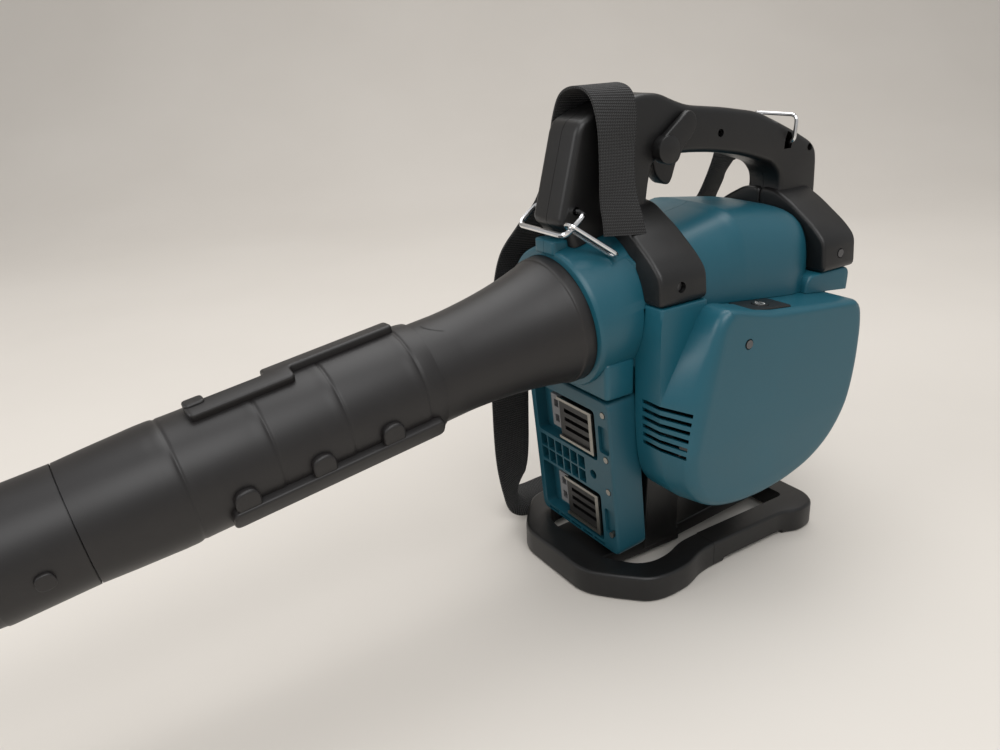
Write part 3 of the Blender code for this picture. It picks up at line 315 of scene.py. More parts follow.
# shoulder strap
strap = {
    "width": 38 * mm, "thick": 1.8 * mm,
    "route": [  # x, y, z, heading of the webbing's width from +X towards +Y, in degrees
        (0.0285, -0.0445, 0.2865, 0), (0.0300, -0.0395, 0.2995, 5), (0.0320, -0.0315, 0.3180, 10),
        (0.0335, -0.0280, 0.3420, 12), (0.0350, -0.0258, 0.3670, 6), (0.0365, -0.0170, 0.3850, 0),
        (0.0370, 0.0000, 0.3900, 0), (0.0365, 0.0165, 0.3845, 0), (0.0350, 0.0242, 0.3670, 0),
        (0.0320, 0.0275, 0.3380, 0), (0.0280, 0.0380, 0.3080, 0), (0.0250, 0.0620, 0.2830, 0),
        (0.0200, 0.0820, 0.2560, 0), (0.0150, 0.0880, 0.2200, 0), (0.0090, 0.0860, 0.1700, 0),
        (0.0050, 0.0820, 0.1200, 2), (0.0040, 0.0810, 0.0750, 8), (0.0070, 0.0840, 0.0440, 25),
        (0.0160, 0.0950, 0.0200, 50), (0.0400, 0.1100, 0.0068, 76), (0.0750, 0.1180, 0.0032, 88),
        (0.1150, 0.1180, 0.0026, 90), (0.1550, 0.1180, 0.0030, 92), (0.1880, 0.1200, 0.0060, 84),
        (0.2160, 0.1240, 0.0180, 66), (0.2300, 0.1220, 0.0400, 42), (0.2360, 0.1180, 0.0750, 20),
        (0.2370, 0.1130, 0.1250, 8), (0.2360, 0.1060, 0.1800, 4), (0.2330, 0.0960, 0.2300, 6),
        (0.2270, 0.0780, 0.2680, 14), (0.2180, 0.0580, 0.2920, 20), (0.2175, 0.0470, 0.3110, 14),
        (0.2215, 0.0440, 0.3240, 6)]}


# Middle line, width direction and face direction; the width is turned square to the line.
def ribbonFrame(data):
    middle, heading = data[:, :3], np.radians(data[:, 3])
    along = np.gradient(middle, axis=0)
    along /= np.linalg.norm(along, axis=1)[:, None]
    across = np.stack([np.cos(heading), np.sin(heading), np.zeros(len(data))], 1)
    across -= along * (across * along).sum(1)[:, None]
    across /= np.linalg.norm(across, axis=1)[:, None]
    return middle, across, np.cross(along, across)


# Flat band: a rounded flat oval carried along the line, with the weave's UV in metres.
def ribbon(name, data, width, thick, finish):
    middle, across, out = ribbonFrame(data)
    step = np.linalg.norm(np.diff(middle, axis=0), axis=1)
    s = np.concatenate([[0], np.cumsum(step)])
    u = np.concatenate([np.linspace(-1, 1, 15), [1.012], np.linspace(1, -1, 15), [-1.012]])
    v = np.concatenate([np.full(15, 0.5), [0], np.full(15, -0.5), [0]])
    points = middle[:, None] + across[:, None] * (u * width / 2)[None, :, None] \
        + out[:, None] * (v * thick)[None, :, None]
    faces = gridFaces(len(middle), len(u), False, True)
    n, k = len(middle), len(u)
    faces = faces.tolist() + [list(range(k)), list(range((n - 1) * k, n * k))[::-1]]
    uv = np.stack([np.repeat(s, k), np.tile(u * width / 2 + v * 0.001, n)], 1)
    obj = meshPiece(name, points, faces, finish, uv=uv)
    return obj, middle, s[-1]


def makeStrap():
    data = smoothLine(strap["route"], 10)[3:-3]
    band, middle, length = ribbon("strap_webbing", data, strap["width"], strap["thick"], "webbing")
    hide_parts("strap")
    [tuple(p) for p in middle[::3]] + [tuple(middle[-1])]
    print("strap length", round(float(length), 4))


makeStrap()


# helpers for cut and joined shells
def helper(points, faces):
    mesh = bpy.data.meshes.new("helper")
    mesh.from_pydata(np.asarray(points, float).reshape(-1, 3).tolist(), [], faces)
    bm = bmesh.new()
    bm.from_mesh(mesh)
    bmesh.ops.triangulate(bm, faces=[face for face in bm.faces if len(face.verts) > 4])
    bmesh.ops.recalc_face_normals(bm, faces=bm.faces)
    bm.to_mesh(mesh)
    bm.free()
    obj = bpy.data.objects.new("helper", mesh)
    bpy.context.scene.collection.objects.link(obj)
    return obj


# Closed loft: the rings are rows of a grid, and the two end rings are filled.
def skin(rings):
    rings = np.asarray(rings, float)
    n, k = rings.shape[:2]
    faces = gridFaces(n, k, False, True).tolist() + [list(range(k)), list(range((n - 1) * k, n * k))[::-1]]
    return helper(rings, faces)


# Outline with each corner swapped for the parabola that touches both edges at the given reach from it.
def fillet(points, radius, steps=5):
    p = np.asarray(points, float)
    back, ahead = np.roll(p, 1, 0) - p, np.roll(p, -1, 0) - p
    lengthBack, lengthAhead = np.linalg.norm(back, axis=1), np.linalg.norm(ahead, axis=1)
    reach = np.minimum(np.minimum(radius, 0.48 * lengthBack), 0.48 * lengthAhead)[:, None]
    start, end = p + back / lengthBack[:, None] * reach, p + ahead / lengthAhead[:, None] * reach
    t = np.linspace(0, 1, steps)[None, :, None]
    return ((1 - t) ** 2 * start[:, None] + 2 * t * (1 - t) * p[:, None]
            + t ** 2 * end[:, None]).reshape(-1, 2)


# Outline moved inwards, each point along the bisector of its two edges.
def inset(outline, distance):
    ahead = np.roll(outline, -1, 0) - outline
    ahead = ahead / np.linalg.norm(ahead, axis=1)[:, None]
    normal = np.stack([ahead[:, 1], -ahead[:, 0]], 1)
    x, y = outline[:, 0], outline[:, 1]
    if (x * np.roll(y, -1) - y * np.roll(x, -1)).sum() > 0:
        normal = -normal
    before = np.roll(normal, 1, 0)
    return outline + distance * (normal + before) / (1 + (normal * before).sum(1))[:, None]


planes = {"XZ": (0, 2, 1), "XY": (0, 1, 2), "YZ": (2, 0, 1)}
gap, seam = 0.4 * mm, 0.18 * mm


# Plate with quarter-round edges: inset copies of the outline, stacked from near to far.
def plate(outline, near, far, edge, plane="XZ", steps=4, place=None):
    outline = np.asarray(outline, float)
    a = np.linspace(0, pi / 2, steps + 1) if edge else np.zeros(1)
    level = np.concatenate([near + edge * (1 - np.sin(a[::-1])), far - edge * (1 - np.sin(a))])
    share = np.concatenate([edge * (1 - np.cos(a[::-1])), edge * (1 - np.cos(a))])
    rings = np.stack([np.column_stack([inset(outline, s), np.full(len(outline), z)])[:, planes[plane]]
                      for s, z in zip(share, level)])
    if place is not None:
        rings = rings @ np.array(place.to_3x3()).T + np.array(place.translation)
    return skin(rings)


# Box with rounded corners in one plane and rounded edges all round.
def block(low, high, corner, edge, plane="XZ", place=None):
    order = {"XZ": (0, 2, 1), "XY": (0, 1, 2), "YZ": (1, 2, 0)}[plane]
    lo, hi = [low[k] for k in order], [high[k] for k in order]
    corners = [(lo[0], lo[1]), (hi[0], lo[1]), (hi[0], hi[1]), (lo[0], hi[1])]
    return plate(fillet(corners, corner) if corner else corners, lo[2], hi[2], edge, plane, 3, place)


# Points of a profile of (distance, radius) turned round the axis (origin, along, up).
def spun(profile, axis, steps):
    origin, along, up = (np.array(v, float) for v in axis)
    side = np.cross(along, up)
    profile = np.asarray(profile, float)
    a = np.linspace(0, 2 * pi, steps, endpoint=False)[None, :, None]
    s, r = profile[:, 0, None, None], profile[:, 1, None, None]
    return origin + along * s + r * (np.cos(a) * up + np.sin(a) * side)


# Solid of revolution with both ends filled.
def turned(profile, axis, steps=96):
    return skin(spun(profile, axis, steps))


# Round bar along Y.
def acrossY(x, z, y0, y1, radius, steps=32):
    return turned([(y0, radius), (y1, radius)], ((x, 0, z), (0, 1, 0), (0, 0, 1)), steps)


# Joins and cuts one after another: each step is a mode and its helper.
def carve(base, *steps):
    for mode, other in steps:
        step = base.modifiers.new("step", "BOOLEAN")
        step.operation, step.object, step.solver = mode, other, "EXACT"
    mesh = bpy.data.meshes.new_from_object(base.evaluated_get(bpy.context.evaluated_depsgraph_get()))
    base.modifiers.clear()
    base.data = mesh
    return base


# The half of the space on one side of the middle plane, short of it by the seam.
def halfSpace(side):
    if side < 0:
        return block((-0.3, -0.3, -0.1), (0.4, -seam, 0.5), 0.0, 0.0, "XY")
    return block((-0.3, seam, -0.1), (0.4, 0.3, 0.5), 0.0, 0.0, "XY")


def clearHelpers():
    for obj in [o for o in bpy.data.objects if o.name.startswith("helper")]:
        bpy.data.objects.remove(obj)


# Turn a helper into a finished piece that stands for CAD nodes.
def settle(obj, name, finish, stands, body="chassis", smoothAngle=30):
    obj.name = name
    mesh = obj.data
    mesh.name = name
    mesh.materials.clear()
    mesh.materials.append(finishes[finish])
    bm = bmesh.new()
    bm.from_mesh(mesh)
    bmesh.ops.remove_doubles(bm, verts=bm.verts, dist=0.00002)
    bmesh.ops.dissolve_degenerate(bm, edges=bm.edges, dist=0.00001)
    bm.to_mesh(mesh)
    bm.free()
    mesh.polygons.foreach_set("material_index", np.zeros(len(mesh.polygons), np.int32))
    mesh.shade_smooth()
    mesh.set_sharp_from_angle(angle=radians(smoothAngle))
    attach(obj, body)
    if stands:
        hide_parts(*stands)
    print(name, len(mesh.polygons))


# blower tube: pipe, sliding sleeve and tip
tube = {"start": (-0.0034, 0.0, 0.2246), "droop": radians(8.3), "neck": 0.0369, "wall": 0.0017,
        "top": radians(5.6),
        "low": radians(122), "seams": (0.132, 0.188, 0.236, 0.290), "pockets": (0.1625, 0.2115, 0.2615)}
tubeAlong = np.array((-cos(tube["droop"]), 0, -sin(tube["droop"])))
tubeUp = np.array((-sin(tube["droop"]), 0, cos(tube["droop"])))
tubeAxis = (tube["start"], tubeAlong, tubeUp)


# Outer line smoothed, then back along the inside at the wall's depth, with rounded rims.
def tubeWall(line, wall):
    outer = smoothLine(line, 8)
    inner = outer[::-1] - (0, wall)
    rim = 0.3 * wall
    return np.vstack([[(outer[0, 0], outer[0, 1] - rim)], outer[1:-1], [(outer[-1, 0], outer[-1, 1] - rim)],
                      [(inner[0, 0], inner[0, 1] + rim)], inner[1:-1], [(inner[-1, 0], inner[-1, 1] + rim)]])


# Closed wall turned round the tube's axis: the profile is a loop, so both directions of the grid are
# closed.
def ringPiece(profile):
    steps = 144
    return helper(spun(profile, tubeAxis, steps), gridFaces(len(profile), steps, True, True).tolist())


# Flat points (s, t) wrapped on the tube: t is the arc from the top towards -Y at the sleeve's radius.
def onTube(flat, radius):
    a = flat[:, 1] / 0.0400
    side = np.array((0, -1.0, 0))
    return np.array(tube["start"]) + tubeAlong * flat[:, :1] \
        + radius * (np.cos(a)[:, None] * tubeUp + np.sin(a)[:, None] * side)


# Raised plate that follows the tube, with quarter-round edges.
def ridge(corners, low, high, corner, edge):
    outline = fillet(corners, corner, 7)
    a = np.linspace(0, pi / 2, 6)
    rings = [onTube(outline, low)] + [onTube(inset(outline, edge * (1 - cos(k))), high
                                             - edge * (1 - sin(k))) for k in a]
    return skin(np.stack(rings))


def makeTube():
    pipeLine = [(-0.0280, 0.0498), (0.0050, 0.0498), (0.0110, 0.0482), (0.0240, 0.0452), (0.0380, 0.0424),
                (0.0540, 0.0400), (0.0720, 0.0381), (0.0920, 0.0369), (0.1200, 0.0369), (0.2755, 0.0369)]
    settle(ringPiece(tubeWall(pipeLine, tube["wall"])), "outlet_pipe_fine", "tube", ["outlet_pipe"],
           "outlet_pipe")
    s = np.linspace(0.119, 0.350, 460)
    swell = 0.0006 * np.exp(-((s - 0.300) / 0.010) ** 2)
    fall = 0.0018 * np.clip((s - 0.312) / 0.038, 0, 1) ** 1.4
    rise = 0.0010 * np.clip((0.131 - s) / 0.012, 0, 1) ** 2
    seams = sum(0.00055 * np.exp(-((s - k) / 0.0011) ** 2) - 0.00020 * np.exp(-((s - k - 0.004) / 0.003) ** 2)
                for k in tube["seams"])
    outer = np.column_stack([s, 0.0400 + swell - fall - rise - seams])
    inner = np.array([(0.3504, 0.0362), (0.3950, 0.0362), (0.3950, 0.0346), (0.3500, 0.0346),
                      (0.3000, 0.0374),
                      (0.1190, 0.0374)])
    profile = np.vstack([[(0.1188, 0.0382)], outer, inner])
    body = ringPiece(profile)
    settle(body, "nozzle_sleeve_fine", "tube", ["nozzle_sleeve"], "nozzle_sleeve", 40)
    jog = [(0.1310, -0.0095), (0.2215, -0.0095), (0.2215, 0.0005), (0.2730, 0.0005), (0.2730, 0.0138),
           (0.2055, 0.0138), (0.2055, 0.0030), (0.1310, 0.0030)]
    settle(ridge(jog, 0.0385, 0.0452, 0.0035, 0.0018), "sleeve_channel_top", "tube", [],
           "nozzle_sleeve", 45)
    settle(ridge([(0.2600, -0.0030), (0.2730, -0.0030), (0.2730, 0.0060), (0.2600, 0.0060)], 0.0385, 0.0465,
                 0.0030,
                 0.0015), "sleeve_channel_cap", "tube", [], "nozzle_sleeve", 45)
    low = tube["low"] * 0.0400
    settle(ridge([(0.1250, low - 0.0075), (0.2730, low - 0.0075), (0.2730, low + 0.0065),
                  (0.1250, low + 0.0065)],
                 0.0385, 0.0458, 0.0050, 0.0018), "sleeve_channel_low", "tube", [],
           "nozzle_sleeve", 45)
    for k, middle in enumerate(tube["pockets"]):
        settle(ridge([(middle - 0.0080, low - 0.0200), (middle + 0.0080, low - 0.0200),
                      (middle + 0.0080, low - 0.0020),
                      (middle - 0.0080, low - 0.0020)], 0.0385, 0.0446, 0.0078, 0.0020), "sleeve_pocket_"
               + str(k + 1),
               "tube", [], "nozzle_sleeve", 45)
    tipLine = [(0.3508, 0.0383), (0.3900, 0.0383), (0.4000, 0.0382), (0.4060, 0.0373), (0.4500, 0.0352),
               (0.5100, 0.0330), (0.5570, 0.0317), (0.5630, 0.0325), (0.5750, 0.0326)]
    tipInner = [(0.5750, 0.0306), (0.5600, 0.0300), (0.5100, 0.0314), (0.4500, 0.0336), (0.4030, 0.0352),
                (0.3965, 0.0367), (0.3508, 0.0367)]
    settle(ringPiece(np.vstack([smoothLine(tipLine, 8), tipInner])), "nozzle_tip_fine", "tube",
           ["nozzle_tip"],
           "nozzle_tip", 40)
    peg = radians(98) * 0.0400
    settle(ridge([(0.3685, peg - 0.0055), (0.3795, peg - 0.0055), (0.3795, peg + 0.0055),
                  (0.3685, peg + 0.0055)],
                 0.0372, 0.0410, 0.0053, 0.0010), "tip_peg", "tube", [], "nozzle_tip", 45)
    # alignment arc: a dark strip laid on the pipe, painted shade that stands in for the shade inside the cut
    # arc groove
    s = np.linspace(0, 1, 40)
    arcLine = np.column_stack([0.1115 - 0.0105 * s ** 2, 0.0040 + 0.0150 * s])
    mark = np.stack([onTube(arcLine + (0.0003, 0), 0.0372), onTube(arcLine - (0.0003, 0), 0.0372)])
    strip = meshPiece("pipe_arc_mark", mark, gridFaces(2, 40, False, False), "shadeStrip", "outlet_pipe")


makeTube()
clearHelpers()
print("tube ready")


# fan housing
drum = {"x": 0.126, "z": 0.186, "small": 0.086, "large": 0.110, "roof": 0.1095, "rear": 0.1015, "fall": 0.12,
        "corner": 8, "motorSide": 0.068, "inletSide": 0.062, "wall": 0.0028, "inlet": 0.053,
        "bulkhead": -0.030}
coverInner, coverOuter, coverFront = -0.0490, -0.1015, 0.0340
ledge = {"x": 0.128, "y": -0.0825, "front": 0.03, "height": 0.2385, "slope": radians(6.5)}


# Spiral under the fan, then a squared-off rear and roof as a power mean of two lines, then the duct's flat
# roof.
def drumRadius(a):
    spiral = drum["small"] + (drum["large"] - drum["small"]) * (a - pi) / (1.5 * pi)
    roof = drum["roof"] / np.maximum(np.sin(a) + drum["fall"] * np.cos(a), 1e-3)
    rear = drum["rear"] / np.maximum(np.cos(a), 1e-3)
    square = (roof ** -drum["corner"] + rear ** -drum["corner"]) ** (-1 / drum["corner"])
    duct = 0.107 / np.maximum(np.sin(a) - tan(radians(9.3)) * np.cos(a), 1e-3)
    front = -0.098 / np.minimum(np.cos(a), -1e-3)
    return np.where(a >= pi, spiral, np.where(a < pi / 2, square,
                                              np.maximum(np.minimum(duct, front), drum["small"])))


# Superelliptic drum: at each y the outline shrinks by the superellipse of that side.
def drumShell(grow=0.0, start=None, end=None):
    a = np.linspace(0, 2 * pi, 144, endpoint=False)
    left, right = drum["motorSide"] + grow, drum["inletSide"] + grow
    y = np.concatenate([-left * np.sin(np.linspace(np.arcsin(0.985), 0, 12)),
                        right * np.sin(np.linspace(0, np.arcsin(0.94), 10))[1:]])
    if start is not None:
        y = np.concatenate([[start], y[y > start + 0.002]])
    if end is not None:
        y = np.concatenate([y[y < end - 0.002], [end]])
    half, power = np.where(y < 0, left, right), np.where(y < 0, 4.0, 5.0)
    share = (1 - (np.abs(y) / half) ** power) ** (1 / power)
    r = drumRadius(a)[None, :] * share[:, None] + grow
    return skin(np.stack([drum["x"] + r * np.cos(a), np.repeat(y[:, None], len(a), 1), drum["z"]
                          + r * np.sin(a)], -1))


def ledgeZ(x):
    return ledge["height"] - (x - ledge["front"]) * tan(ledge["slope"])


keySeat = Matrix.Translation((ledge["x"], ledge["y"], ledgeZ(ledge["x"]))) @ Matrix.Rotation(ledge["slope"],
                                                                                             4, "Y")
fanAxis = ((drum["x"], 0, drum["z"]), (0, 1, 0), (0, 0, 1))
collarProfile = [(0.0000, 0.0530), (-0.0004, 0.0546), (-0.0020, 0.0557), (-0.0045, 0.0561), (-0.0550, 0.0600)]


def makeHousing():
    column = [(0.190, 0.165), (0.2280, 0.165), (0.2500, 0.196), (0.2530, 0.2330), (0.200, 0.2330)]
    hollow = [(0.205, 0.172), (0.2270, 0.172), (0.2460, 0.200), (0.2470, 0.2270), (0.205, 0.2270)]
    under = [(coverFront - gap, ledgeZ(coverFront)), (0.30, ledgeZ(0.30)), (0.30, -0.02), (-0.05, -0.02),
             (-0.05, 0.165),
             (coverFront - gap, 0.165)]
    for side, name in ((-1, "left"), (1, "right")):
        steps = [("UNION", turned(collarProfile, tubeAxis)),
                 ("UNION", block((-0.012, -0.0120, 0.2760), (0.0180, 0.0120, 0.2865), 0.003, 0.0015, "XY")),
                 ("UNION", plate(fillet(column, 0.009, 6), -0.0690, 0.0560, 0.0022)),
                 ("UNION", block((0.0060, -0.0500, 0.1690), (0.0335, 0.0500, 0.1980), 0.004, 0.0025, "XY")),
                 ("DIFFERENCE", drumShell(-drum["wall"], start=drum["bulkhead"])),
                 ("DIFFERENCE", plate(hollow, -0.0660, 0.0530, 0.0005)),
                 ("DIFFERENCE", drumShell(-drum["wall"], end=drum["bulkhead"] - drum["wall"])),
                 ("DIFFERENCE", turned([(-0.030, 0.0475), (-0.115, 0.0475)], tubeAxis)),
                 ("DIFFERENCE", turned([(0.010, 0.0502), (-0.0305, 0.0502)], tubeAxis)),
                 ("DIFFERENCE", turned([(0.0383, drum["inlet"]), (0.080, drum["inlet"])], fanAxis)),
                 ("DIFFERENCE", turned([(-0.040, 0.0120), (-0.020, 0.0120)], fanAxis, 48)),
                 ("DIFFERENCE", plate(under, -0.13, coverInner + gap, 0.0002))]
        steps.append(("INTERSECT", halfSpace(side)))
        if side > 0:
            for z0, z1 in ((0.1600, 0.1710), (0.2010, 0.2120)):
                steps.append(("UNION", block((0.0505, 0.0480, z0), (0.0585, 0.0640, z1), 0.001, 0.0005,
                                             "XY")))
                steps.append(("UNION", turned([(z0, 0.004), (z1, 0.004)],
                                              ((0.0545, 0.064, 0), (0, 0, 1), (1, 0, 0)), 32)))
            steps.append(("DIFFERENCE", turned([(0.15, 0.0021), (0.22, 0.0021)],
                                               ((0.0545, 0.064, 0), (0, 0, 1), (1, 0, 0)),
                                               32)))
        shell = carve(drumShell(), *steps)
        settle(shell, "housing_" + name + "_fine", "teal", ["housing_" + name])


makeHousing()
clearHelpers()
print("housing ready")


# motor cover
vents = {"place": (0.036, 0, 0.1650), "tilt": radians(14), "count": 6, "pitch": 6.6 * mm, "half": 1.6 * mm}
cheek = {"start": -0.0765, "wedgeLow": 0.170, "wedgeHigh": 0.236, "slantLow": 0.130, "slantHigh": 0.235}


def coverOutline():
    top = [(x, ledgeZ(x) - gap) for x in (coverFront + 0.001, 0.055, 0.080, 0.120, 0.160, 0.200, 0.229)]
    rest = [(0.2330, 0.196), (0.2325, 0.165), (0.2290, 0.140), (0.2215, 0.117), (0.2075, 0.0970),
            (0.1870, 0.0825),
            (0.1620, 0.0740), (0.1370, 0.0700), (0.1120, 0.0695), (0.0900, 0.0715), (0.0700, 0.0765),
            (0.0530, 0.0860), (0.0420, 0.1000), (0.0370, 0.1200), (0.0350, 0.1450), (0.0345, 0.1700),
            (0.0340, 0.1950), (0.0340, 0.2250)]
    return fillet(top + rest, 0.02, 6)


# Outline at y: pulled in by edge towards the middle, its front run back along the wedge and the slanted
# cheek.
def coverRing(outline, y, edge):
    x, z = outline[:, 0], outline[:, 1]
    away = outline - (0.125, 0.150)
    away /= np.linalg.norm(away, axis=1)[:, None]
    onTop = z > ledgeZ(x) - 0.0012
    pull = edge * np.where(onTop, 0.6, 1.0)
    f = np.clip((cheek["start"] - y) / (cheek["start"] - coverOuter), 0, 1)
    wedge = np.clip((z - cheek["wedgeLow"]) / (cheek["wedgeHigh"] - cheek["wedgeLow"]), 0, 1)
    slant = np.clip((z - cheek["slantLow"]) / (cheek["slantHigh"] - cheek["slantLow"]), 0, 1)
    begin = 0.039 * wedge
    back = (begin + (np.maximum(0.008 + 0.028 * slant, begin) - begin) * f) * (y < cheek["start"])
    shift = back * np.clip((0.125 - x) / 0.080, 0, 1)
    lean = 0.055 * np.clip(0.128 - z, 0, 1) * f
    return np.stack([x - away[:, 0] * pull + shift, np.full(len(x), y) + lean, z - away[:, 1] * pull], 1)


def makeCover():
    outline = coverOutline()
    start, outer = cheek["start"], coverOuter
    bend = np.linspace(0, pi / 2, 8)
    edge = 0.0080
    levels = [(coverInner, 0.0), (-0.060, 0.0), (start, 0.0), (start - 0.0003, 0.0)]
    levels += [(y, 0.0) for y in np.linspace(-0.080, outer + edge, 8)]
    levels += [(outer + edge * (1 - sin(k)), edge * (1 - cos(k))) for k in bend[1:]]
    rings = [coverRing(outline, y, e) for y, e in levels]
    face = rings[-1]
    middle = np.array((0.145, 0, 0.155))
    for share in (0.96, 0.88, 0.76, 0.62, 0.46, 0.30, 0.15):
        ring = middle + (face - middle) * share
        ring[:, 1] = outer + 0.055 * np.clip(0.128 - ring[:, 2], 0, 1)
        rings.append(ring)
    outerShell = skin(np.stack(rings))
    wall = 0.0028
    inside = []
    for y, like, e in ((coverInner + 0.010, coverInner, 0.0), (start + wall, start, 0.0),
                       (start + wall - 0.0003, start - 0.0003, 0.0),
                       (outer + wall + 0.0030, outer + 0.006, 0.001)):
        flat = inset(coverRing(outline, like, e)[:, (0, 2)], wall)
        inside.append(np.column_stack([flat[:, 0], np.full(len(flat), y), flat[:, 1]]))
    hollow = skin(np.stack(inside))
    tilt = Matrix.Translation(vents["place"]) @ Matrix.Rotation(vents["tilt"], 4, "Y")
    steps = [("DIFFERENCE", hollow)]
    for k in range(vents["count"]):
        low, high = -k * vents["pitch"] - vents["half"], -k * vents["pitch"] + vents["half"]
        steps.append(("DIFFERENCE", block((-0.012, -0.0965, low), (0.0200, -0.0570, high), 0.0, 0.0004,
                                          "XZ", tilt)))
    steps.append(("DIFFERENCE", block((-0.0225, -0.0125, -0.0014), (0.0225, 0.0125, 0.006), 0.003, 0.0, "XY",
                                      keySeat)))
    steps.append(("DIFFERENCE", turned([(-0.13, 0.0042), (outer + 0.0014, 0.0042)],
                                       ((0.0975, 0, 0.2080), (0, 1, 0), (0, 0, 1)), 32)))
    column = carve(block((0.0345, -0.0765, 0.2200), (0.0795, -0.0500, 0.2408), 0.003, 0.0015, "XY"),
                   ("DIFFERENCE", drumShell(gap)), ("DIFFERENCE", turned(
                       [(0.002, 0.0562), (-0.0550, 0.0606)], tubeAxis)))
    steps.append(("UNION", column))
    cover = carve(outerShell, *steps)
    settle(cover, "motor_cover_fine", "teal", ["motor_cover"], smoothAngle=28)


makeCover()
clearHelpers()
print("cover ready")


# handle, trigger and lever
handle = {"half": 0.0180, "saddle": 0.2412, "column": 0.2330, "lever": (0.0855, 0.3420),
          "trigger": (0.0885, 0.3435)}
handleOutline = [(-0.0100, 0.2990), (0.0066, 0.3620), (0.0105, 0.3680), (0.0220, 0.3730), (0.0450, 0.3795),
                 (0.0680, 0.3830), (0.0840, 0.3815), (0.0960, 0.3765), (0.1120, 0.3710), (0.1500, 0.3665),
                 (0.1890, 0.3600), (0.2150, 0.3495), (0.2400, 0.3385), (0.2560, 0.3305), (0.2625, 0.3240),
                 (0.2645, 0.3150), (0.2660, 0.2830), (0.2600, 0.2500), (0.2160, 0.2500), (0.2165, 0.2850),
                 (0.2195, 0.2970), (0.2180, 0.3060), (0.2090, 0.3160), (0.1900, 0.3225), (0.1710, 0.3280),
                 (0.1400, 0.3335), (0.1150, 0.3360), (0.0880, 0.3365), (0.0775, 0.3330), (0.0745, 0.3200),
                 (0.0720, 0.3020), (0.0720, 0.2700), (0.0040, 0.2700), (-0.0020, 0.2930)]
gripHollow = [(0.0020, 0.3060), (0.0120, 0.3560), (0.0260, 0.3680), (0.0680, 0.3770), (0.0900, 0.3720),
              (0.1120, 0.3660), (0.1880, 0.3545), (0.2350, 0.3350), (0.2520, 0.3270), (0.2580, 0.3180),
              (0.2600, 0.2900), (0.2250, 0.2900), (0.2260, 0.3060), (0.2120, 0.3215), (0.1720, 0.3335),
              (0.1200, 0.3415), (0.0840, 0.3415), (0.0720, 0.3360), (0.0680, 0.3060)]


def makeHandle():
    h = handle["half"]
    column = [(0.190, 0.165), (0.2284, 0.1646), (0.2504, 0.196), (0.2540, handle["column"] + gap),
              (0.200, handle["column"] + gap)]
    front = [(0.0, 0.3060), (0.018, 0.3045), (0.044, 0.2890), (0.065, 0.2730), (0.0745, 0.2630),
             (0.0765, handle["saddle"]), (0.0560, handle["saddle"]), (0.0, 0.2700)]
    rear = [(0.0, 0.2960), (0.018, 0.2945), (0.036, 0.2850), (0.060, 0.2690), (0.0705, 0.2590),
            (0.0725, handle["column"] + gap), (0.0, handle["column"] + gap)]
    ringSlot = [(0.2205, 0.3275), (0.2290, 0.3275), (0.2305, 0.3345), (0.2285, 0.3400), (0.2240, 0.3420),
                (0.2215, 0.3360)]
    for side, name in ((-1, "left"), (1, "right")):
        steps = [("UNION", plate(fillet([(side * y, z) for y, z in front], 0.006), 0.0345, 0.0795, 0.0032,
                                 "YZ")),
                 ("UNION", plate(fillet([(side * y, z) for y, z in rear], 0.006), 0.2140, 0.2540, 0.0032,
                                 "YZ")),
                 ("DIFFERENCE", drumShell(gap)),
                 ("DIFFERENCE", turned([(0.002, 0.0562), (-0.0550, 0.0606)], tubeAxis)),
                 ("DIFFERENCE", block((-0.014, -0.0124, 0.270), (0.0184, 0.0124, 0.2870), 0.0, 0.0, "XY")),
                 ("DIFFERENCE", plate(column, -0.0694, 0.0564, 0.0)),
                 ("DIFFERENCE", plate(gripHollow, -h + 0.0028, h - 0.0028, 0.0)),
                 ("DIFFERENCE", block((0.0790, -0.0068, 0.300), (0.1200, 0.0068, 0.350), 0.0, 0.0, "XY")),
                 ("DIFFERENCE", acrossY(*handle["trigger"], -0.0120, 0.03, 0.0021)),
                 ("DIFFERENCE", acrossY(*handle["lever"], -0.03, 0.0, 0.0044)),
                 ("DIFFERENCE", acrossY(0.0045, 0.3075, -0.03, 0.03, 0.0030)),
                 ("DIFFERENCE", plate(ringSlot, -0.03, 0.03, 0.0))]
        for x, z in ((0.1461, 0.3476), (0.2530, 0.3260), (0.0260, 0.3620)):
            steps.append(("DIFFERENCE", acrossY(x, z, side * h - 0.0022, side * h + 0.01, 0.0031, 24)))
        for x, z in ((0.0536, 0.2540), (0.2345, 0.2470)):
            steps.append(("DIFFERENCE", acrossY(x, z, *sorted((side * 0.0685, side * 0.09)), 0.0040)))
        steps.append(("INTERSECT", halfSpace(side)))
        shell = carve(plate(fillet(handleOutline, 0.010, 6), -h, h, 0.0048, steps=5), *steps)
        settle(shell, "handle_" + name + "_fine", "black", ["handle_" + name], smoothAngle=32)


